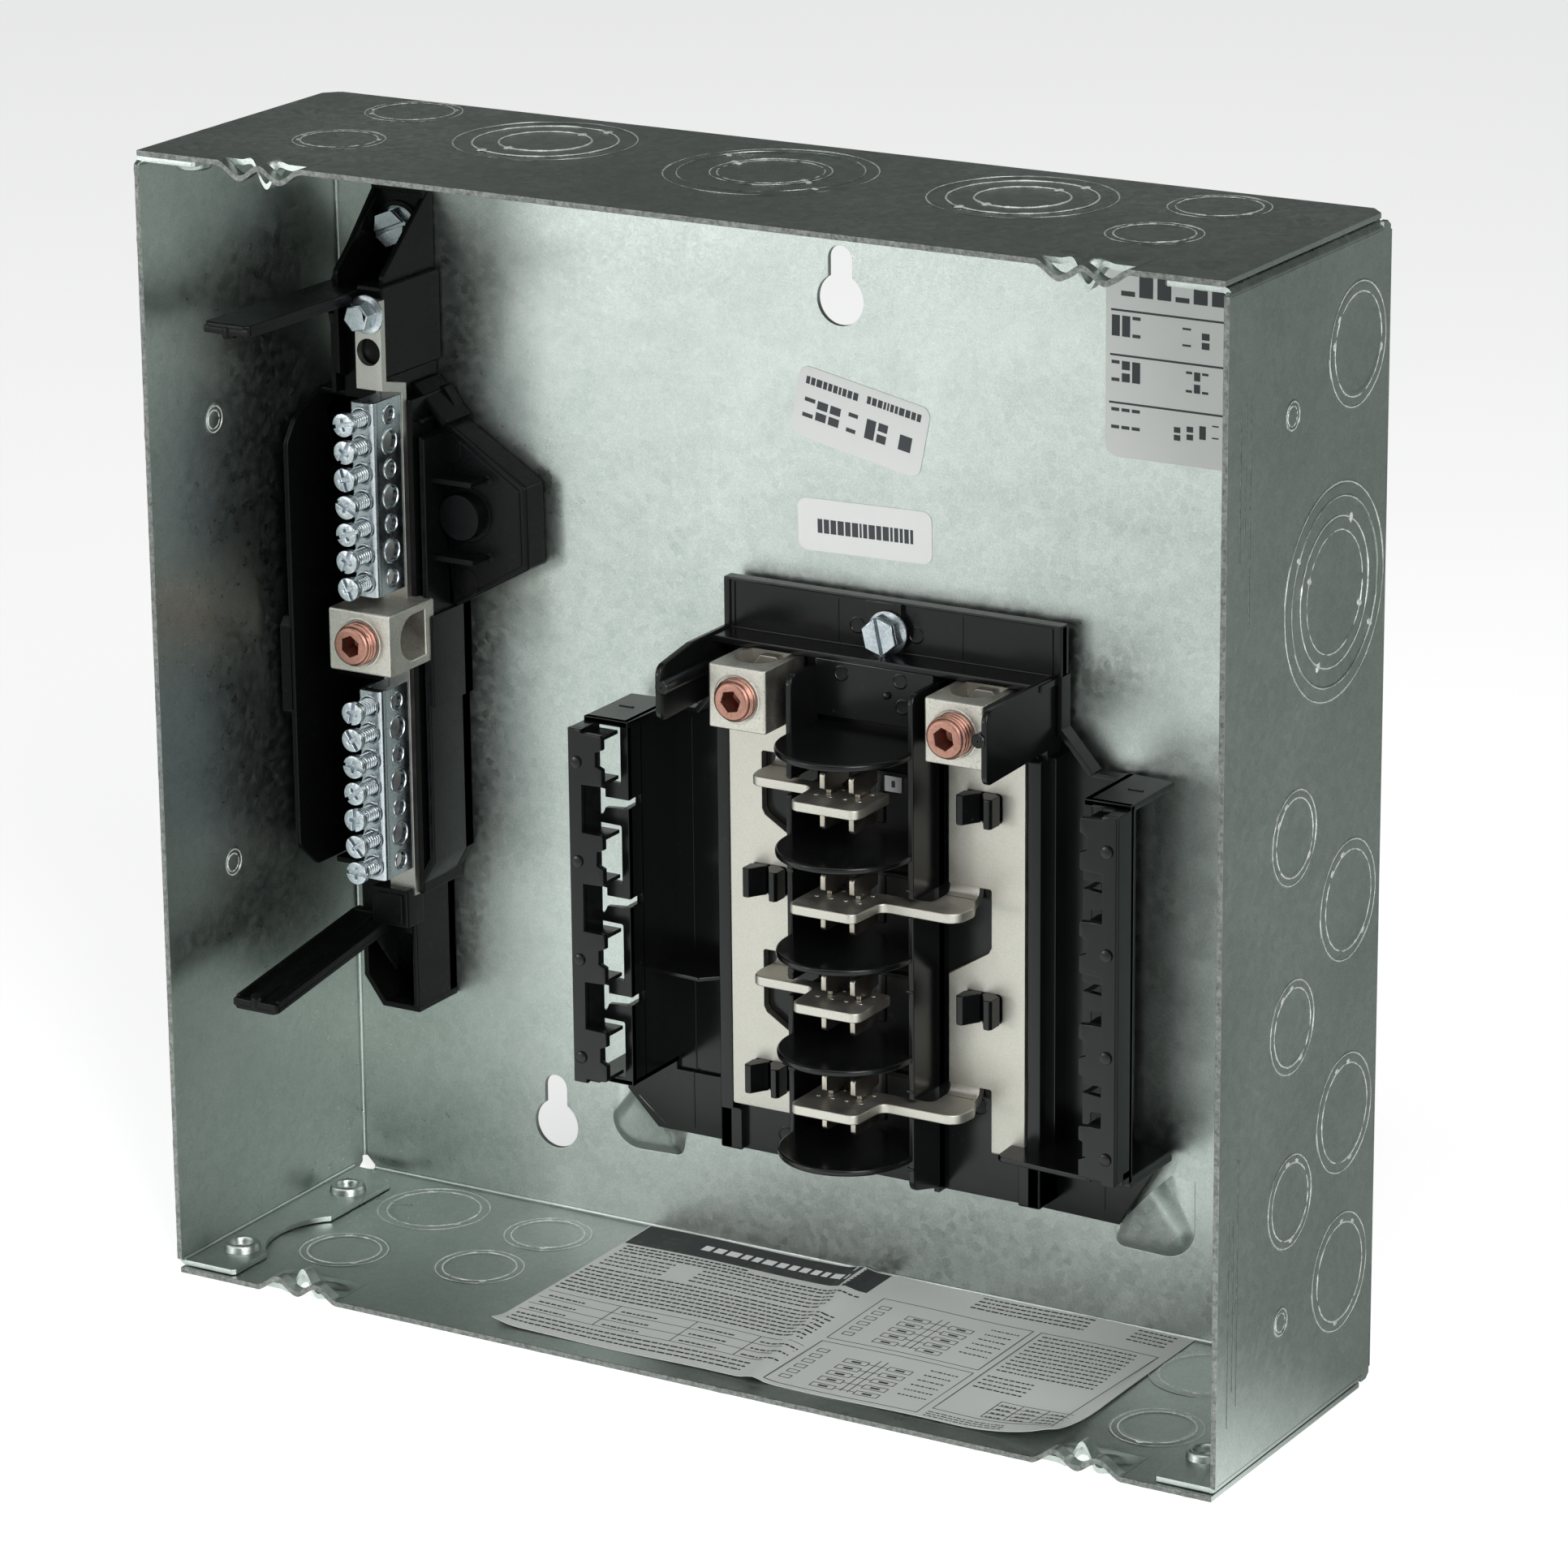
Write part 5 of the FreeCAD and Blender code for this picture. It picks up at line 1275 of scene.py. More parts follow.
DONE = {"enclosure_box"}
base_floor()
base_flange()
base_lug_walls()
base_channel()
rail(-1, "left_breaker_rail")
rail(1, "right_breaker_rail")
clips()
for obj in list(bpy.context.scene.objects):
    if obj.name in ("base_floor", "base_top_flange", "base_lug_walls", "base_stab_channel",
                    "left_breaker_rail", "right_breaker_rail", "bus_clips"):
        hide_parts("interior_base")


# =====================================================================================
# bus bars, stabs, lugs and set screws
# =====================================================================================


def tab_loop(hand, y_shoulder, y_nose):
    """The outline of a bent-out bus tab in plan: root, shoulder, S-curve, nose."""
    root, flare, tip = (28.6, 31.4, 30.6) if hand > 0 else (27.8, 28.4, 27.4)
    corners = [(root, -17.2, 0), (flare, -23.0, 3.0), (tip, y_shoulder, 5.5),
               (9.9, y_shoulder, 2.6), (9.3, y_nose, 2.4), (-9.3, y_nose, 2.4),
               (-9.3, -24.2, 1.2), (20.4, -24.2, 2.0), (20.4, -17.2, 0)]
    loop = rounded([(BX + hand * x, y) for x, y, r in corners], [r for x, y, r in corners], 5)
    return loop


def bus(hand, tabs, name, node):
    s = Solid()
    inner, outer = 20.0, 40.9
    back, face, thick = -12.9, -15.4, 2.5
    cuts = []
    for k in tabs:
        top = -7.05 - PITCH * k
        cuts.append((top, top - thick))
    # the flat bar: outer edge straight, inner edge stepped round every tab's cut-out
    loop = [(outer, -97.2), (outer, 4.1), (34.6, 4.1), (34.6, 15.6), (31.9, 19.3), (27.4, 19.3),
            (24.8, 15.6), (24.8, 4.1), (inner, 4.1)]
    for top, low in cuts:
        loop += [(inner, top + 2.2), (31.7, top + 2.2)]
        if top - 20.6 < -97.2:
            loop += [(31.7, -97.2)]
        else:
            loop += [(31.7, top - 12.4), (30.9, top - 13.9), (inner, top - 20.6)]
    if loop[-1][1] > -97.2:
        loop += [(inner, -97.2)]
    radii = [0.6] * len(loop)
    holes = []
    for k, z in ((0, -37.3), (2, -88.0)) if hand < 0 else ((1, -9.6), (3, -60.0)):
        x = mirrored(hand, 29.7)
        holes.append([(x - 4.9, z - 3.6), (x + 4.9, z - 3.6), (x + 4.9, z + 3.6), (x - 4.9, z + 3.6)])
    if hand > 0:
        holes.append(ring(mirrored(hand, 29.7), 10.0, 1.3, 20))
    slab(s, front, rounded(side_loop(hand, loop), 0.5, 3), [rounded(h, 1.0, 3) if len(h) == 4 else h
                                                          for h in holes], 12.9, 15.4, 0.3)
    for top, low in cuts:
        x0, x1 = sorted((mirrored(hand, inner + 0.4), mirrored(hand, 28.6 if hand > 0 else 27.8)))
        inner_bend = arc(-17.4, top + 2.0, 2.0, 0, -90, 8)
        outer_bend = arc(-17.4, top + 2.0, 4.5, -90, 0, 10)
        profile = [(-15.4, top + 2.4)] + inner_bend + [(-17.9, top)] + \
            [(-17.9, low)] + outer_bend + [(-12.9, top + 2.4)]
        slab(s, side, profile, (), x0, x1, 0.3)
        y_shoulder = -28.0 if hand < 0 else -30.4
        y_nose = -40.6 if hand < 0 else -42.0
        slots = []
        for blade in (-3.97, 3.97):
            x = BX + blade
            slots.append([(x - 0.8, -31.1), (x + 0.8, -31.1), (x + 0.8, -25.6), (x - 0.8, -25.6)])
        slab(s, flat, tab_loop(hand, y_shoulder, y_nose), slots, low, top, 0.4, 3)
        for blade in (-3.97, 3.97):
            x = BX + blade
            box(s, x - 0.8, x + 0.8, -31.3, -25.4, low - 0.01, low + 0.4, 0.05)
            for dx in (-2.0, 2.0):
                rise = [(0.7, -0.1), (0.58, 0.12), (0.34, 0.24), (0.05, 0.28)]
                lathe(s, rise, (x + dx, -33.2, top), "z", 14)
                lathe(s, rise, (x + dx, -27.0, top), "z", 14)
    s.make(name, BUS, "plated_bus")
    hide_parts(node)
    DONE.add(node)


def blades(tabs, name, node):
    s = Solid()
    for k in tabs:
        z = STAB_Z[k]
        for blade in (-3.97, 3.97):
            x = BX + blade
            loop = [(-34.0, -7.2), (-34.0, -3.0), (-31.0, -2.2), (-31.0, 2.2), (-34.0, 3.0),
                    (-34.0, 7.2), (-23.4, 7.2), (-22.2, 6.0), (-22.2, 2.6), (-25.6, 2.0),
                    (-25.6, -2.0), (-22.2, -2.6), (-22.2, -6.0), (-23.4, -7.2)]
            loop = rounded([(y, z + dz) for y, dz in loop],
                           [1.1, 0.5, 0.2, 0.2, 0.5, 1.1, 0.8, 0.8, 0.4, 0.2, 0.2, 0.4, 0.8, 0.8], 4)
            slab(s, side, loop, (), x - 0.7, x + 0.7, 0.26, 3)
    s.make(name, BLADE, "stab_metal")
    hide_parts(node)
    DONE.add(node)


def thread(s, centre, root, crest, pitch, start, end, count=30, taper=0.8, turn=0.0):
    """A helical thread about an axis along -Y; start and end are heights."""
    cx, cy, cz = centre
    steps = max(6, int((end - start) / pitch * 8))
    rows = []
    for i in range(steps + 1):
        h = start + (end - start) * i / steps
        row = []
        for j in range(count):
            a = 2 * math.pi * j / count
            phase = (h / pitch - (a / (2 * math.pi)) + turn) % 1.0
            lift = 1 - abs(phase * 2 - 1)
            lift = smooth(min(1.0, lift * 1.35))
            fade = min(1.0, (h - start) / taper + 0.02, (end - h) / 0.3 + 0.3)
            radius = root + (crest - root) * lift * fade
            row.append((cx + radius * math.cos(a), cy - h, cz + radius * math.sin(a)))
        rows.append(row)
    s.grid(rows, close_u=True)


def hex_loop(x, z, across, turn=0.0):
    radius = across / math.sqrt(3)
    return [(x + radius * math.cos(math.radians(60 * k + turn)),
             z + radius * math.sin(math.radians(60 * k + turn))) for k in range(6)]


def set_screw(name, node, x, front_y, z, body, turn):
    """A socket set screw: helical thread, domed and chamfered end, hexagon socket."""
    s = Solid()
    low = -10.9
    thread(s, (x, front_y, z), 4.75, 5.35, 1.35, low + 0.6, -1.0, 40, 0.8, turn / 60)
    lathe(s, [(4.75, -1.02), (4.95, -0.75), (4.72, -0.3), (4.3, -0.06), (3.95, 0.0)],
          (x, front_y, z), "y", 40)
    lathe(s, [(0.1, low), (4.2, low), (4.75, low + 0.6)], (x, front_y, z), "y", 40)
    loop, cut = ring(x, z, 3.95, 40), hex_loop(x, z, 4.6, turn)
    verts, faces = triangles([loop, inset(cut, -0.25)])
    s.add([(u, front_y, v) for u, v in verts], faces)
    rows = [inset(cut, -0.25), cut, inset(cut, 0.0), inset(cut, 0.05)]
    heights = [0.0, 0.3, 1.2, 5.6]
    s.grid([[(u, front_y + h, v) for u, v in row] for row, h in zip(rows, heights)], close_u=True)
    s.fan([(u, front_y + 5.6, v) for u, v in rows[-1]], (x, front_y + 6.6, z))
    s.make(name, COPPER, "copper_flash_screw", body, crease=40)
    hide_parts(node)
    DONE.add(node)


def bored(solid, cutter):
    """The solid with the cutter's form taken out of it."""
    forms = []
    for form in (solid, cutter):
        obj = bpy.data.objects.new("bore_form", welded("bore_form", form.verts, form.faces))
        bpy.context.scene.collection.objects.link(obj)
        forms.append(obj)
    modifier = forms[0].modifiers.new("bore", "BOOLEAN")
    modifier.object = forms[1]
    modifier.solver = "EXACT"
    cut = forms[0].evaluated_get(bpy.context.evaluated_depsgraph_get()).to_mesh()
    out = Solid().add([v.co / MM for v in cut.vertices], [tuple(p.vertices) for p in cut.polygons])
    for obj in forms:
        bpy.data.objects.remove(obj)
    return out


def box_lug(name, node, x, top, front_y, back_y, width, opening, slot):
    """An extruded lug. The wire opening is a D: round in front, flat behind."""
    s = Solid()
    half = width / 2
    mid = top - 7.95
    if opening == "z":
        shape = rounded([(x - half, front_y), (x + half, front_y), (x + half, back_y),
                         (x - half, back_y)], 0.7, 4)
        bore = front_y + 4.9 + 5.7
        hole = [(x + 5.7, -12.92), (x - 5.7, -12.92)] + arc(x, bore, 5.7, 180, 360, 32)
        slab(s, flat, shape, [rounded(hole, 0)], top - 15.9, top, 0.45, 3)
    else:
        shape = rounded([(front_y, top - 15.9), (front_y, top), (back_y, top),
                         (back_y, top - 15.9)], 0.7, 4)
        bore = front_y + 5.0 + 5.7
        hole = [(-21.52, mid + 5.7)] + arc(bore, mid, 5.7, 90, 270, 32) + [(-21.52, mid - 5.7)]
        slab(s, side, shape, [hole], x - half, x + half, 0.45, 3)
    drill = Solid()
    reach = ring(x, mid, 5.42, 44)
    drill.grid([[(u, y, v) for u, v in reach] for y in (front_y - 2.0, bore)], close_u=True)
    drill.fan([(u, front_y - 2.0, v) for u, v in reach], (x, front_y - 2.0, mid))
    drill.fan([(u, bore, v) for u, v in reach], (x, bore, mid))
    s = bored(s, drill)
    # the bright countersunk mouth of the set screw's bore
    profile = [(6.35, -0.3), (6.3, 0.02), (6.05, 0.16), (5.75, 0.1), (5.45, -0.35), (5.4, -3.0)]
    lathe(s, profile, (x, front_y, mid), "y", 44)
    s.make(name, LUG, slot)
    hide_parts(node)
    DONE.add(node)


bus(-1, (0, 2), "left_bus_shape", "left_bus_bar")
bus(1, (1, 3), "right_bus_shape", "right_bus_bar")
blades((0, 2), "left_stab_blade_set", "left_stab_blades")
blades((1, 3), "right_stab_blade_set", "right_stab_blades")
box_lug("left_lug_shape", "left_line_lug", BX - 29.7, 20.3, -30.1, -11.0, 15.9, "z",
        "lug_aluminium")
box_lug("right_lug_shape", "right_line_lug", BX + 29.7, 20.3, -30.1, -11.0, 15.9, "z",
        "lug_aluminium")
box_lug("neutral_lug_shape", "neutral_lug", -115.5, 21.6, -37.5, -17.6, 18.0, "x",
        "lug_aluminium")
set_screw("left_set_screw", "left_lug_screw", BX - 29.7, -33.1, 12.35, "left_lug_screw", 12)
set_screw("right_set_screw", "right_lug_screw", BX + 29.7, -35.1, 12.35, "right_lug_screw", 40)
set_screw("neutral_set_screw", "neutral_lug_screw", -115.5, -41.7, 13.65, "neutral_lug_screw", 25)


# =====================================================================================
# neutral terminals
# =====================================================================================

NX = -115.5


def recessed_head(s, x, z, y_low, y_high, radius, angle, slot=0.42, arm=1.55, arm_half=0.5):
    """A round head split by a straight slot, with the arms of a cross recess."""
    ca, sa = math.cos(angle), math.sin(angle)

    def turned(points):
        return [(x + p * ca - q * sa, z + p * sa + q * ca) for p, q in points]

    edge_angle = math.degrees(math.asin(slot / radius))
    floor = y_high - (y_high - y_low) * 0.5
    slab(s, front, turned(ring(0, 0, radius, 36)), (), y_low, floor, 0.2)
    for half in (0, 180):
        loop = arc(0, 0, radius, edge_angle + half, 180 - edge_angle + half, 22)
        sign = 1 if half == 0 else -1
        notch = [(-arm_half, slot), (-arm_half * 0.7, arm), (arm_half * 0.7, arm),
                 (arm_half, slot)]
        loop += [(sign * p, sign * q) for p, q in notch]
        slab(s, front, turned(loop), (), floor - 0.12, y_high, 0.22, 3)


def terminal(name, node, z, index):
    s = Solid()
    angle = math.radians((index * 47 + 13) % 180)
    lean = 0.12 * math.sin(index * 2.3)
    recessed_head(s, NX + lean, z, 39.95, 42.0, 2.95, angle)
    thread(s, (NX, -39.9, z), 1.5, 2.1, 0.95, -12.4, 0.0, 24, 1.4, index * 0.21)
    lathe(s, [(0.05, -12.15), (1.5, -12.1), (1.72, -11.9)], (NX, -39.5, z), "y", 20)
    lathe(s, [(1.9, -0.5), (2.5, -0.1), (2.6, 0.1)], (NX, -40.0, z), "y", 20)
    s.make(name, ZINC, "zinc_screw", node, crease=40)
    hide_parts(node)
    DONE.add(node)


def terminal_bar(name, node, top):
    """A folded channel with a row of screw collars in front and wire holes in both sides."""
    s = Solid()
    low = top - 49.0
    x0, x1 = NX - 3.45, NX + 3.45
    zs = [top - 3.8 - 6.9 * k for k in range(7)]
    web_holes = [ring(NX, z, 2.25, 24) for z in zs]
    slab(s, front, [(x0 + 1.2, low), (x1 - 1.2, low), (x1 - 1.2, top), (x0 + 1.2, top)],
         web_holes, 31.4, 34.0, 0.12)
    for hand in (-1, 1):
        x = NX + hand * 3.45
        bend = arc(NX + hand * 2.15, -32.7, 1.3, -90, 0 if hand > 0 else -180, 7)
        under = arc(NX + hand * 2.15, -32.7, 0.3, 0 if hand > 0 else -180, -90, 7)
        slab(s, flat, bend + [(x, -31.9), (x - hand * 1.0, -31.9)] + under, (), low, top, 0.12)
        holes = []
        for k, z in enumerate(zs):
            radius = 2.9 if k % 2 else 2.15
            holes.append(ring(-27.2, z, radius, 30))
        slab(s, side, [(-32.2, low), (-32.2, top), (-21.6, top), (-21.6, low)], holes,
             min(x, x - hand), max(x, x - hand), 0.14)
    for k, z in enumerate(zs):
        lathe(s, [(3.05, -0.1), (2.85, 0.32), (2.55, 0.38), (2.3, 0.2), (2.25, -2.4)],
              (NX, -34.0, z), "y", 26)
        radius = 2.9 if k % 2 else 2.15
        rim = [(radius + 0.5, -0.05), (radius + 0.36, 0.26), (radius + 0.1, 0.34),
               (radius - 0.1, 0.12), (radius - 0.12, -1.1)]
        lathe(s, rim, (NX + 3.45, -27.2, z), "x", 26)
    s.make(name, ZINC, "zinc_bar")
    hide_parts(node)
    DONE.add(node)


def hex_head(name, node, x, y, z, body, head, washer, tall, slot, material, length, shank,
             turn=0.0):
    """A hexagon head on a dished washer. y is the washer's underside."""
    s = Solid()
    ca = math.radians(turn)
    lathe(s, [(washer - 0.25, 0.0), (washer, 0.25), (washer - 0.1, 0.6), (washer - 0.9, 1.05),
              (head / 2, 1.2)], (x, y, z), "y", 44)
    s.fan([(x + p, y - 0.0, z + q) for p, q in ring(0, 0, washer - 0.25, 44)], (x, y, z))
    s.fan([(x + p, y - 1.2, z + q) for p, q in ring(0, 0, head / 2, 44)], (x, y - 1.2, z))
    top = -y + tall
    if slot:
        half, gap = head / math.sqrt(3), 0.42
        for sign in (-1, 1):
            loop = [(-half + gap / 1.74, gap), (half - gap / 1.74, gap), (half / 2, head / 2),
                    (-half / 2, head / 2)]
            loop = [(x + sign * (p * math.cos(ca) - q * math.sin(ca)),
                     z + sign * (p * math.sin(ca) + q * math.cos(ca))) for p, q in loop]
            slab(s, front, loop, (), top - 1.25, top, 0.3, 3)
        slab(s, front, hex_loop(x, z, head, turn), (), -y + 0.9, top - 1.2, 0.02, 1)
    else:
        slab(s, front, rounded(hex_loop(x, z, head, turn), 0.3, 3), (), -y + 1.0, top, 0.45, 3)
        lathe(s, [(head / 2 - 0.9, tall - 0.06), (head / 2 - 1.3, tall - 0.35),
                  (0.05, tall - 0.5)], (x, y, z), "y", 30)
    if length > 1:
        thread(s, (x, y, z), shank - 0.5, shank, 1.3, -length, 0.0, 20, 1.5)
    s.make(name, material, "zinc_screw", body, crease=36)
    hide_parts(node)
    DONE.add(node)


for row, top in (("upper", 73.5), ("lower", 0.3)):
    terminal_bar("%s_terminal_bar" % row, "%s_neutral_bar" % row, top)
    for k in range(7):
        node = "%s_terminal_screw_%d" % (row, k + 1)
        terminal(node + "_shape", node, top - 3.8 - 6.9 * k, k + (9 if row == "lower" else 0))
hex_head("bonding_hex_screw", "bonding_screw", NX, -30.0, 94.9, "bonding_screw", 6.3, 4.9, 5.2,
         False, ZINC, 25.8, 2.3, 12)
hex_head("carrier_hex_screw", "carrier_mounting_screw", -122.0, -5.6, 111.5, PANEL, 8.4, 5.4,
         5.0, True, ZINC, 3.8, 2.2, 22)
hex_head("base_hex_screw", "base_mounting_screw", BX, -8.9, 27.7, PANEL, 8.4, 5.4, 5.0, True,
         ZINC, 7.0, 2.2, -78)


# =====================================================================================
# neutral carrier
# =====================================================================================

CX = -122.0


def sloped(z0, slope, y0=-20.0):
    """Plan coordinates on a plane that rises with its distance from the back."""
    def place(u, v, w):
        return (u, v, z0 + slope * (y0 - v) + w)
    return place


def carrier():
    s = Solid()
    # middle section: floor, right wall with its step, seat behind the bars
    floor = [(-137.0, -46.0), (-133.5, -50.0), (-112.0, -56.0), (-107.0, -47.0), (-107.0, -6.5),
             (-106.0, -6.5), (-106.0, 17.0), (-107.0, 17.0), (-107.0, 68.0), (-110.0, 72.0),
             (-133.5, 72.0), (-137.0, 68.0)]
    slab(s, front, floor, (), 1.5, 5.6, 0.4)
    wall = [(-108.6, 62.6), (-108.6, -46.2), (-113.2, -54.8), (-112.0, -56.0), (-107.0, -47.0),
            (-107.0, -6.5), (-106.0, -6.5), (-106.0, 17.0), (-107.0, 17.0), (-107.0, 62.0)]
    slab(s, front, wall, (), 1.5, 19.5, 0.4, 3)
    box(s, -137.0, -114.6, -19.5, -1.5, 70.4, 72.0, 0.35)
    box(s, -137.0, -112.5, -19.5, -1.5, -51.6, -50.0, 0.35)
    box(s, -119.9, -110.4, -19.4, -1.6, -56.0, 71.6, 0.4)
    # upright wall between the bars and the enclosure
    upright = [(-1.5, -50.0), (-27.0, -50.0), (-35.0, -43.0), (-35.0, 61.0), (-31.0, 66.5),
               (-19.0, 72.0), (-1.5, 72.0)]
    slab(s, side, rounded(upright, [0.2, 2, 3, 3, 3, 2, 0.2], 4), (), -138.4, -136.9, 0.4, 3)
    bulge = [(-1.5, -10.5), (-33.0, -10.5), (-35.0, -8.0), (-35.0, 14.0), (-33.0, 16.5),
             (-1.5, 16.5)]
    slab(s, side, rounded(bulge, [0.2, 1.5, 1.5, 1.5, 1.5, 0.2], 3), (), -141.2, -137.2, 0.5, 3)
    for k in range(9):
        z = -42.0 + 13.2 * k
        box(s, -136.9, -119.8, -16.0, -5.0, z - 0.6, z + 0.6, 0.2)
        box(s, -110.4, -108.4, -17.5, -5.0, z + 2.0, z + 3.0, 0.2)
    # upper section: its left cheek leans out to the root of the wire guide
    cheek = [(-128.6, 121.6), (-137.0, 101.0), (-138.2, 70.0), (-114.6, 70.0), (-114.6, 121.6)]
    slab(s, front, rounded(cheek, 0.5, 3), (), 1.5, 4.4, 0.3)
    lean = [(-1.6, 121.6), (-6.4, 121.2), (-22.6, 99.4), (-22.6, 72.0), (-1.6, 72.0)]
    rows = []
    for x_top, x_low in ((-128.9, -131.6), (-128.0, -130.4)):
        rows.append([(x_top if z > 110 else x_low, y, z) for y, z in lean])
    s.grid(rows, close_u=True)
    s.add(rows[0], [(0, 1, 2, 3, 4)])
    s.add(rows[1], [(4, 3, 2, 1, 0)])
    rim = [(-1.5, 71.0), (-17.8, 71.0), (-17.8, 75.0), (-24.2, 77.2), (-24.2, 103.0),
           (-3.6, 120.6), (-1.5, 121.4)]
    for x0 in (-129.6, -116.0):
        slab(s, side, rounded(rim, [0.2, 0.3, 1, 1, 2.0, 1.2, 0.6], 3), (), x0, x0 + 1.5, 0.4, 3)
    box(s, -129.4, -114.8, -5.6, -1.5, 97.0, 121.6, 0.3)
    box(s, -129.5, -114.6, -6.6, -1.5, 120.2, 122.0, 0.5)
    box(s, -129.5, -114.6, -23.3, -4.6, 98.6, 100.2, 0.45)
    box(s, -129.4, -114.7, -20.6, -18.4, 70.6, 99.8, 0.3)
    box(s, -120.6, -112.9, -27.4, -1.6, 78.0, 101.2, 0.9)
    disc(s, -122.0, 111.5, 6.4, -5.6, 0.7)
    # lower section
    low = [(-129.5, -49.0), (-129.5, -80.5), (-124.0, -88.0), (-114.2, -88.0), (-113.0, -86.6),
           (-113.0, -49.0)]
    slab(s, front, rounded(low, 0.8, 3), (), 1.5, 5.4, 0.4)
    box(s, -114.6, -113.0, -19.5, -1.6, -86.9, -49.0, 0.4)
    box(s, -129.5, -128.0, -19.5, -1.6, -80.8, -49.0, 0.4)
    bottom = [(-129.5, -80.5), (-124.0, -88.0), (-113.0, -88.0), (-113.0, -86.4),
              (-123.2, -86.4), (-128.1, -79.7)]
    slab(s, front, bottom, (), 1.6, 19.5, 0.35)
    box(s, -129.4, -113.2, -19.4, -17.6, -67.5, -49.6, 0.35)
    slope = [(-19.4, -66.6), (-5.6, -87.6), (-3.8, -87.0), (-17.6, -66.0)]
    slab(s, side, rounded(slope, 0.3, 3), (), -126.8, -113.4, 0.3)
    box(s, -123.2, -112.2, -24.4, -17.0, -64.2, -54.2, 0.6)
    box(s, -121.8, -113.6, -24.9, -17.0, -63.0, -55.4, 0.4)
    disc(s, -117.5, -76.0, 2.2, -5.4, 0.5)
    # mounting wing: a deep hollow plate with a boss between two wedges
    wing = [(-107.4, 17.7), (-104.6, 17.7), (-83.5, 29.6), (-83.8, 50.6), (-105.7, 64.1),
            (-113.6, 72.3), (-114.2, 74.0), (-108.4, 60.0)]
    slab(s, front, rounded(wing, [0.2, 1, 1.2, 1.2, 1, 1, 0.3, 0.2], 4), (), 1.5, 10.0, 0.8, 4)
    slab(s, front, rounded(inset(wing[:5], 1.6), 1.0, 3), (), 9.6, 10.35, 0.5, 3)
    bar(s, (-114.2, 73.6), (-105.2, 64.6), 1.7, -1.6, -13.2, 0.4)
    disc(s, -101.0, 41.7, 5.9, -9.9, 4.2, 0.4, 48)
    disc(s, -101.0, 41.7, 7.2, -10.2, 0.45, 0.25, 48)
    disc(s, -105.9, 58.0, 3.9, -10.2, 0.35, 0.2, 36)
    disc(s, -101.6, 24.2, 3.6, -10.2, 0.35, 0.2, 36)
    for z in (30.8, 50.6):
        wedge = [(-9.0, z), (-9.0, z + 1.5), (-17.0, z + 1.4), (-17.0, z + 0.1)]
        slab(s, side, wedge, (), -107.8, -95.1, 0.3)
        disc(s, -94.4, z + 0.7, 1.2, -10.2, 0.3, 0.25, 20)
    s.make("neutral_carrier_shape", SATIN, "black_moulding")
    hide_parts("neutral_carrier")
    arms = Solid()
    for z0, slope, tip, way in ((99.4, 0.012, -75.0, -1), (-65.0, -0.145, -73.0, 1)):
        plan = [(-131.9, -20.0), (-119.0, -18.0), (-119.0, tip + 1.2), (-120.2, tip),
                (-131.0, tip), (-132.0, tip + 1.0)]
        place = sloped(z0, slope)
        slab(arms, place, rounded(plan, [0.2, 0.2, 1.0, 1.0, 1.0, 1.0], 3), (), -0.75, 0.75, 0.35, 3)
        for x0, x1 in ((-131.9, -130.8), (-120.2, -119.1), (-126.2, -125.4)):
            rib = [(x0, tip + 1.4), (x1, tip + 1.4), (x1, -20.0), (x0, -20.0)]
            depth = 2.3 if x0 != -126.2 else 1.1
            low_w, high_w = sorted((0.0, way * depth))
            slab(arms, place, rib, (), low_w, high_w, 0.25)
        edge_low, edge_high = sorted((0.0, way * 2.0))
        slab(arms, place, [(-131.8, tip), (-119.2, tip), (-119.2, tip + 1.2), (-131.8, tip + 1.2)],
             (), edge_low, edge_high, 0.3)
        bump = ring(-125.5, tip + 1.6, 1.9, 20)
        edge_low, edge_high = sorted((0.0, way * 3.0))
        slab(arms, place, bump, (), edge_low, edge_high, 0.4)
    # gussets under and over the arm roots
    slab(arms, side, rounded([(-19.0, 99.8), (-19.0, 76.0), (-23.3, 92.0), (-36.0, 98.8)], 0.3),
         (), -131.8, -130.3, 0.3)
    slab(arms, side, rounded([(-17.0, -64.0), (-17.0, -72.0), (-26.0, -66.6)], 0.3), (),
         -129.6, -128.3, 0.3)
    box(arms, -131.6, -119.2, -21.0, -17.8, -66.0, -62.6, 0.5)
    slab(arms, side, rounded([(-19.0, -64.0), (-19.0, -78.0), (-28.0, -66.4)], 0.3), (),
         -120.3, -119.2, 0.3)
    arms.make("wire_guide_arms", SATIN, "black_moulding")
    DONE.add("neutral_carrier")


carrier()

# =====================================================================================
# paper labels with generic printed marks
# =====================================================================================


def mark(s, place, u0, v0, u1, v1, lift=0.035, pieces=1):
    """A printed bar: a very thin raised strip."""
    for k in range(pieces):
        a = u0 + (u1 - u0) * k / pieces
        b = u0 + (u1 - u0) * (k + 1) / pieces
        low = [place(a, v0, 0), place(b, v0, 0), place(b, v1, 0), place(a, v1, 0)]
        top = [place(a, v0, lift), place(b, v0, lift), place(b, v1, lift), place(a, v1, lift)]
        s.add(low + top, [(0, 3, 2, 1), (4, 5, 6, 7), (0, 1, 5, 4), (1, 2, 6, 5), (2, 3, 7, 6),
                          (3, 0, 4, 7)])


def words(s, place, u0, u1, v, height, seed, fill=0.85, piece_length=2.4, gap=0.55, lift=0.035):
    """A line of generic print: bars of uneven length with gaps, no letters."""
    rng = random.Random(seed)
    u, end = u0, u0 + (u1 - u0) * fill
    while u < end:
        length = min(piece_length * rng.uniform(0.45, 1.5), end - u)
        if length > 0.3:
            mark(s, place, u, v, u + length, v + height, lift, max(1, int(length / 3)))
        u += length + gap


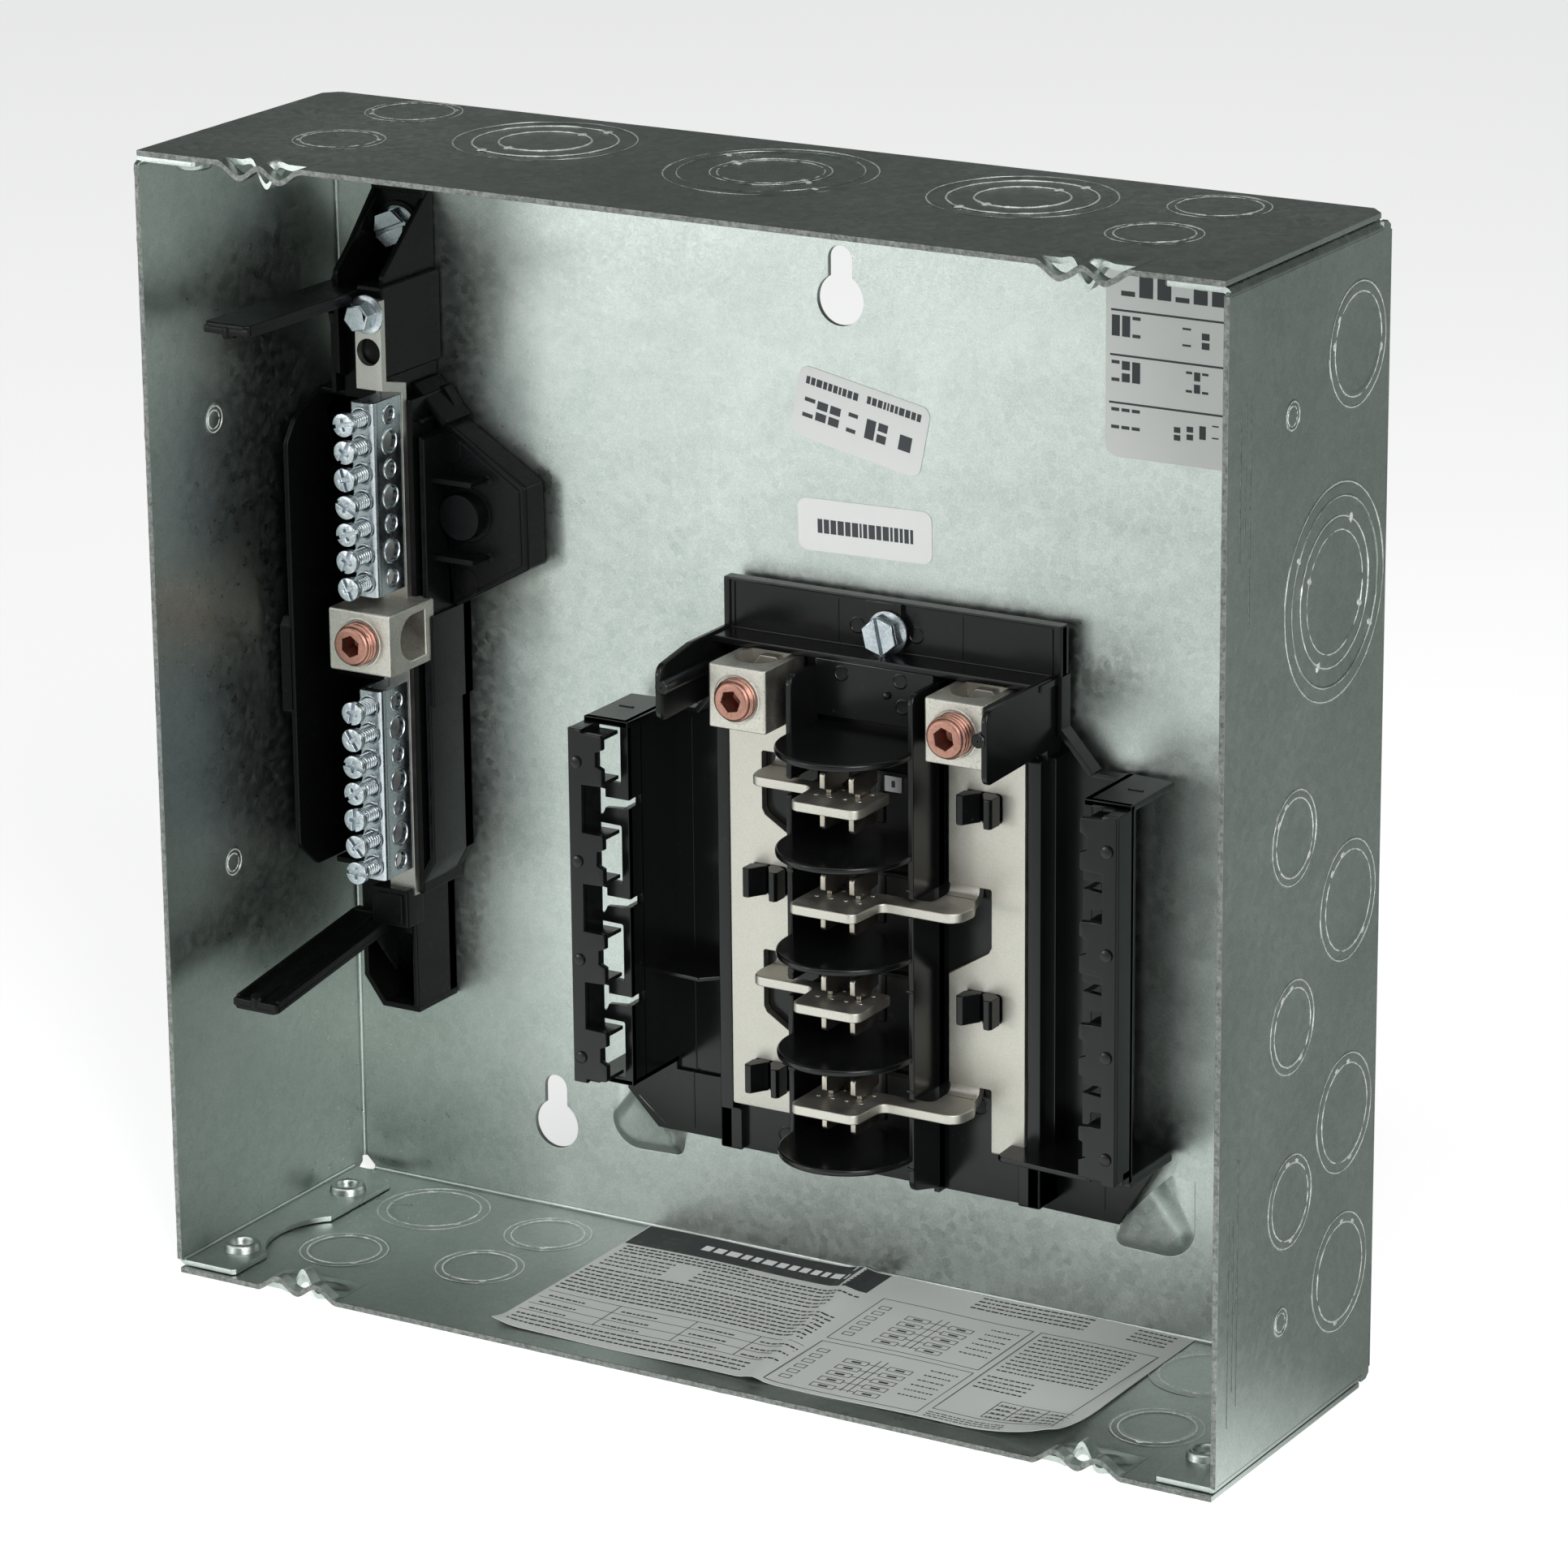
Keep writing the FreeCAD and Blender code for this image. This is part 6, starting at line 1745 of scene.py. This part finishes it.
def block_marks(s, place, u0, v0, height, count, width, gap, stroke, seed):
    """Bold square-cornered marks, each an open frame or a pair of bars."""
    rng = random.Random(seed)
    for k in range(count):
        u = u0 + k * (width + gap)
        kind = rng.randrange(3)
        if kind == 0:
            mark(s, place, u, v0, u + width, v0 + stroke)
            mark(s, place, u, v0 + height - stroke, u + width, v0 + height)
        elif kind == 1:
            mark(s, place, u, v0, u + width, v0 + height * 0.42)
            mark(s, place, u, v0 + height * 0.58, u + width, v0 + height)
        else:
            mark(s, place, u, v0, u + width, v0 + height)


def tilted_place(cx, cz, slope, height=1.58):
    angle = math.atan(slope)

    def place(u, v, w):
        return (cx + u * math.cos(angle) - v * math.sin(angle), -(height + w),
                cz + u * math.sin(angle) + v * math.cos(angle))
    return place


def sticker(name, node, cx, cz, width, height, slope, radius, print_marks):
    place = tilted_place(cx, cz, slope, 1.4)
    top = tilted_place(cx, cz, slope, 1.575)
    s = Solid()
    w, h = width / 2, height / 2
    slab(s, place, rounded([(-w, -h), (w, -h), (w, h), (-w, h)], radius, 6), (), 0.0, 0.18, 0.06)
    obj = s.make(name, PAPER, "label_paper")
    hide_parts(node)
    ink = Solid()
    print_marks(ink, top)
    ink.make(name + "_print", INK, "label_paper")
    DONE.add(node)


def ratings_print(s, top):
    for z, left in ((10.1, -28.6), (-0.6, -28.8), (-12.0, -29.0)):
        mark(s, top, left, z - 0.25, 28.0, z + 0.25)
    block_marks(s, top, -26.0, 13.6, 8.5, 7, 3.6, 1.1, 1.2, 3)
    for k, z in enumerate((3.9, -6.9, -18.2)):
        block_marks(s, top, -28.4, z, 5.0, 3, 2.1, 0.6, 0.8, 20 + k)
    block_marks(s, top, -10.0, 3.4, 4.4, 1, 2.2, 0.6, 0.5, 4)
    block_marks(s, top, -5.0, 3.2, 3.8, 1, 2.0, 0.6, 0.45, 9)
    block_marks(s, top, -9.0, -7.4, 5.0, 3, 1.6, 0.5, 0.6, 31)
    for k in range(4):
        block_marks(s, top, -12.0 + 3.3 * k, -19.2 + 0.5 * k, 3.2, 1, 1.7, 0.4, 0.35, 40 + k)


def line_print(s, top):
    words(s, top, -16.0, -1.5, 4.6, 1.9, 11, 1.0, 1.1, 0.35)
    words(s, top, 1.0, 16.0, 4.9, 1.9, 12, 1.0, 1.1, 0.35)
    block_marks(s, top, -15.5, -3.6, 4.9, 3, 2.9, 0.7, 1.0, 8)
    block_marks(s, top, -3.2, -3.6, 4.9, 1, 2.6, 0.7, 1.0, 2)
    block_marks(s, top, 1.9, -3.6, 4.9, 2, 2.6, 0.7, 1.0, 5)
    block_marks(s, top, 11.3, -3.4, 3.8, 1, 3.4, 0.7, 0.5, 6)


def inspection_print(s, top):
    words(s, top, -13.0, 13.4, -1.9, 3.5, 5, 1.0, 1.2, 0.4)


def diagram_height(x, y):
    """The sheet lies on the bottom, is creased near its middle and curls at one corner."""
    crease = 0.9 * math.exp(-((x - 12.0 + (y + 38) * 0.16) / 2.6) ** 2)
    wave = 0.18 * math.sin(x * 0.11 + y * 0.07) + 0.18
    corner = max(0.0, 1 - math.hypot(x - 98.0, y + 76.0) / 26.0)
    left = max(0.0, 1 - math.hypot(x + 56.5, y + 76.0) / 9.0)
    return crease + wave + 4.2 * corner ** 2 + 1.6 * left ** 2


def on_diagram(u, v, w):
    return (u, v, -141.02 + diagram_height(u, v) + w)


def diagram_sheet():
    left, right, near, back = -56.0, 98.4, -75.6, -1.7
    columns, rows = 96, 46
    top, under = [], []
    for j in range(rows + 1):
        v = near + (back - near) * j / rows
        upper, lower = [], []
        for i in range(columns + 1):
            u = left + (right - left) * i / columns
            if i == columns or j == 0:
                cut = max(0.0, 5.0 - math.hypot(u - (right - 5), v - (near + 5)))
            uu, vv = u, v
            if u > right - 5 and v < near + 5:
                dx, dy = u - (right - 5), v - (near + 5)
                reach = math.hypot(dx, dy)
                far = max(abs(dx), abs(dy))
                if reach > 1e-6:
                    uu = right - 5 + dx / reach * far
                    vv = near + 5 + dy / reach * far
            upper.append(on_diagram(uu, vv, 0.15))
            lower.append(on_diagram(uu, vv, 0.0))
        top.append(upper)
        under.append(lower)
    s = Solid()
    s.grid(top)
    s.grid(under, flip=True)
    for a, b in ((top[0], under[0]), (top[-1], under[-1])):
        s.grid([a, b])
    s.grid([[row[0] for row in top], [row[0] for row in under]])
    s.grid([[row[-1] for row in top], [row[-1] for row in under]])
    obj = s.make("wiring_diagram_sheet", PAPER_GREY, "label_paper")
    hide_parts("wiring_diagram_label")
    DONE.add("wiring_diagram_label")


def on_print(u, v, w):
    return on_diagram(u, v, w + 0.16)


def small_print(s, place, u0, u1, v, height, seed, fill=0.85, piece_length=2.0, gap=0.5):
    words(s, place, u0, u1, v, height * 0.75, seed, fill, piece_length * 0.7, gap * 0.7)


def frame_marks(s, u0, v0, u1, v1, line=0.22):
    for a in (v0, v1 - line):
        mark(s, on_print, u0, a, u1, a + line, 0.03, max(1, int(abs(u1 - u0) / 4)))
    for a in (u0, u1 - line):
        mark(s, on_print, a, v0, a + line, v1)


def diagram_print():
    s = Solid()
    mark_rows = Solid()
    for k in range(9):
        mark(mark_rows, on_print, -55.6, -3.7 - 1.4 * k, 14.5, -2.25 - 1.4 * k, 0.03, 34)
    mark_rows.make("diagram_header_band", INK_GREY, "label_paper")
    pale = Solid()
    words(pale, lambda u, v, w: on_print(u, v, w + 0.04), -36.0, 8.0, -10.4, 3.0, 61, 0.95,
          2.6, 1.0, 0.03)
    pale.make("diagram_header_marks", PAPER, "label_paper")
    lines = [(-54, -18, -16.8), (-54, 16, -18.6), (-54, 10, -20.4)]
    for k, (a, b, v) in enumerate(lines):
        small_print(s, on_print, a, b, v, 1.0, 70 + k, 0.98, 2.0, 0.6)
    for k in range(4):
        small_print(s, on_print, -54, -34, -22.8 - 2.3 * k, 0.9, 80 + k, 0.9, 1.8)
        small_print(s, on_print, -28, 14, -22.8 - 2.3 * k, 0.9, 90 + k, 0.9, 2.1)
    for k in range(8):
        small_print(s, on_print, -55, 18, -32.8 - 2.25 * k, 0.95, 100 + k, 0.97, 2.2, 0.5)
    for v in (-51.4, -56.0, -60.6, -65.0):
        mark(s, on_print, -55.0, v, 18.0, v + 0.2, 0.03, 20)
    for u in (-34.0, -12.0, 6.0):
        mark(s, on_print, u, -65.0, u + 0.22, -51.4)
    for row, v in enumerate((-54.6, -59.2, -63.8)):
        for column, u in enumerate((-53.0, -32.0, -10.0, 7.5)):
            small_print(s, on_print, u, u + 14, v, 0.9, 130 + row * 5 + column, 0.75, 1.8)
    for k in range(3):
        small_print(s, on_print, -54, 16, -67.8 - 2.3 * k, 0.9, 160 + k, 0.95, 2.2)
    # circuit drawings: rows of small frames joined to two upright lines
    for block, v_top in enumerate((-16.0, -46.0)):
        frame_marks(s, 20.0, v_top - 28.0, 62.0, v_top)
        for k in range(5):
            v = v_top - 7.0 - 4.0 * k
            frame_marks(s, 31.0, v - 2.4, 37.5, v)
            frame_marks(s, 43.0, v - 2.4, 49.5, v)
            mark(s, on_print, 37.5, v - 1.3, 43.0, v - 1.1)
            mark(s, on_print, 33.0, v - 1.6, 35.6, v - 0.8)
            mark(s, on_print, 45.0, v - 1.6, 47.6, v - 0.8)
        for u in (39.2, 41.2):
            mark(s, on_print, u, v_top - 25.0, u + 0.25, v_top - 5.0)
        for k in range(6):
            small_print(s, on_print, 52.5, 61.0, v_top - 4.5 - 3.2 * k, 0.7, 200 + block * 9 + k, 0.9, 1.2)
            frame_marks(s, 22.0, v_top - 6.4 - 3.6 * k, 25.0, v_top - 4.4 - 3.6 * k)
    frame_marks(s, 64.0, -70.0, 96.0, -16.0)
    for k in range(11):
        small_print(s, on_print, 65.5, 94.0, -18.6 - 2.3 * k, 0.8, 240 + k, 0.92, 1.6)
    for k in range(4):
        small_print(s, on_print, 65.5, 80.0, -46.0 - 2.4 * k, 0.8, 260 + k, 0.9, 1.6)
    for k in range(5):
        mark(s, on_print, 76.0, -58.0 - 2.6 * k, 95.4, -57.8 - 2.6 * k, 0.03, 6)
    for u in (76.0, 82.0, 89.0):
        mark(s, on_print, u, -68.4, u + 0.2, -57.8)
    for row in range(4):
        for u in (77.0, 83.5, 90.5):
            small_print(s, on_print, u, u + 5, -60.2 - 2.6 * row, 0.8, 280 + row * 3 + int(u), 0.8, 1.2)
    for k in range(4):
        small_print(s, on_print, 41.0, 80.0, -3.6 - 2.2 * k, 0.9, 310 + k, 0.8, 2.0)
        small_print(s, on_print, 84.0, 97.0, -3.6 - 2.2 * k, 0.8, 320 + k, 0.8, 1.6)
    for k in range(3):
        small_print(s, on_print, 64.0, 90.0, -72.2 - 1.2 * k, 0.5, 330 + k, 0.8, 1.6)
    s.make("diagram_print", INK_GREY, "label_paper")


sticker("ratings_sticker", "ratings_label", 102.3, 101.5, 60.0, 50.0, 0.0, 3.2, ratings_print)
sticker("line_sticker", "line_label", 6.2, 76.6, 36.5, 17.8, -0.2, 2.6, line_print)
sticker("inspection_sticker", "inspection_label", 7.4, 49.7, 37.0, 13.0, 0.02, 2.4,
        inspection_print)
diagram_sheet()
diagram_print()

FINISHES = {
    "galvanised_steel": GALV, "black_moulding": BLACK, "plated_bus": BUS, "stab_metal": BLADE,
    "lug_aluminium": LUG, "copper_flash_screw": COPPER, "strap_aluminium": STRAP,
    "zinc_bar": ZINC, "zinc_screw": ZINC, "label_paper": PAPER,
}
SLOT_OF = {part["node"]: part["material_slot"] for part in frame["record"]["subparts"]}
BODY_OF = {}
for body_name, members in frame["record"]["behaviour"]["bodies"].items():
    for member in members:
        BODY_OF[member] = body_name


def carry_over():
    for node in frame["nodes"]:
        if node in DONE:
            continue
        slot = SLOT_OF[node]
        edge = 0.0 if slot == "label_paper" else 0.22
        refined(node, FINISHES[slot], slot, edge, BODY_OF[node])


carry_over()

# =====================================================================================
# floor, light and camera
# =====================================================================================


def stage():
    floor_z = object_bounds()[0].z
    mesh = bpy.data.meshes.new("floor")
    mesh.from_pydata([(-9, -9, floor_z), (9, -9, floor_z), (9, 9, floor_z), (-9, 9, floor_z)],
                     [], [(0, 1, 2, 3)])
    floor = bpy.data.objects.new("floor", mesh)
    bpy.context.scene.collection.objects.link(floor)
    n = Nodes("pale_floor")
    cloud = n.noise(3.0, 4)
    colour = n.blend(n.range(cloud, 0.3, 0.7, 0, 1), (0.86, 0.86, 0.855), (0.89, 0.89, 0.885))
    # The floor glows. To the camera it is an even pale backdrop. To reflections it is a bright emitting card in
    # front of the box and painted dark behind the box: a painted reflection and painted shade that the metal
    # surfaces reflect.
    path = n.add("ShaderNodeLightPath")
    split = n.add("ShaderNodeSeparateXYZ")
    n.link(n.coords, split.inputs["Vector"])
    card = n.range(split.outputs["Y"], -0.12, 0.0, 1.0, 0.0)
    near = n.range(split.outputs["Y"], -0.42, -0.14, 0.0, 1.0)
    bright = n.blend(near, (0.83, 0.88, 0.855), (1.75, 1.85, 1.80))
    seen = n.blend(card, (0.26, 0.285, 0.27), bright)
    glow = n.blend(path.outputs["Is Camera Ray"], (0, 0, 0), (0.62, 0.62, 0.62))
    glow = n.blend(path.outputs["Is Glossy Ray"], glow, seen)
    n.finish(n.blend(path.outputs["Is Glossy Ray"], colour, (0.05, 0.05, 0.05)), 0.85, 0.0)
    n.link(glow, n.shader.inputs["Emission Color"])
    n.shader.inputs["Emission Strength"].default_value = 1.0
    floor.data.materials.append(n.material)
    floor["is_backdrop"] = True


def area_light(name, direction, distance, width, height, power, colour=(1, 1, 1),
               target=(0.0, -0.03, 0.0)):
    data = bpy.data.lights.new(name, "AREA")
    data.shape = "RECTANGLE"
    data.size, data.size_y = width, height
    data.energy = power
    data.color = colour
    light = bpy.data.objects.new(name, data)
    way = Vector(direction).normalized()
    light.location = Vector(target) + way * distance
    light.rotation_mode = "QUATERNION"
    light.rotation_quaternion = way.to_track_quat("Z", "Y")
    bpy.context.scene.collection.objects.link(light)
    light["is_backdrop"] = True
    return light


def world():
    made = bpy.data.worlds.new("studio")
    bpy.context.scene.world = made
    made.use_nodes = True
    tree = made.node_tree
    back = tree.nodes["Background"]
    path = tree.nodes.new("ShaderNodeLightPath")
    mix = tree.nodes.new("ShaderNodeMix")
    mix.data_type = "RGBA"
    tree.links.new(path.outputs["Is Camera Ray"], mix.inputs[0])
    mix.inputs[6].default_value = (0.115, 0.125, 0.12, 1)
    mix.inputs[7].default_value = (0.98, 0.98, 0.98, 1)
    tree.links.new(mix.outputs[2], back.inputs["Color"])
    back.inputs["Strength"].default_value = 1.0


def camera():
    az, el, roll = (math.radians(v) for v in (30.7565, 17.4939, -0.5384))
    back = Vector((math.sin(az) * math.cos(el), -math.cos(az) * math.cos(el), math.sin(el)))
    right = (-back).cross(Vector((0, 0, 1))).normalized()
    up = right.cross(-back)
    r = math.cos(roll) * right + math.sin(roll) * up
    u = -math.sin(roll) * right + math.cos(roll) * up
    place = -(r * 14.1631 + u * 14.7693 - back * 1566.139)
    data = bpy.data.cameras.new("camera")
    data.sensor_width = 36.0
    data.lens = 7952.61 / 1932 * 36.0
    data.clip_start, data.clip_end = 0.05, 60
    obj = bpy.data.objects.new("camera", data)
    matrix = Matrix((r, u, back)).transposed().to_4x4()
    matrix.translation = place * MM
    obj.matrix_world = matrix
    bpy.context.scene.collection.objects.link(obj)
    bpy.context.scene.camera = obj


stage()
world()
area_light("softbox_left", (-0.66, -0.74, 0.22), 1.7, 1.7, 1.6, 10.5)
area_light("softbox_right", (0.72, -0.62, 0.42), 1.5, 0.7, 1.1, 18)
area_light("key_left", (-0.60, -0.80, 0.02), 1.7, 0.22, 0.34, 2.6)
area_light("softbox_top", (0.05, -0.62, 0.78), 1.6, 1.2, 0.8, 7)
camera()
bpy.context.scene.view_settings.view_transform = "Standard"
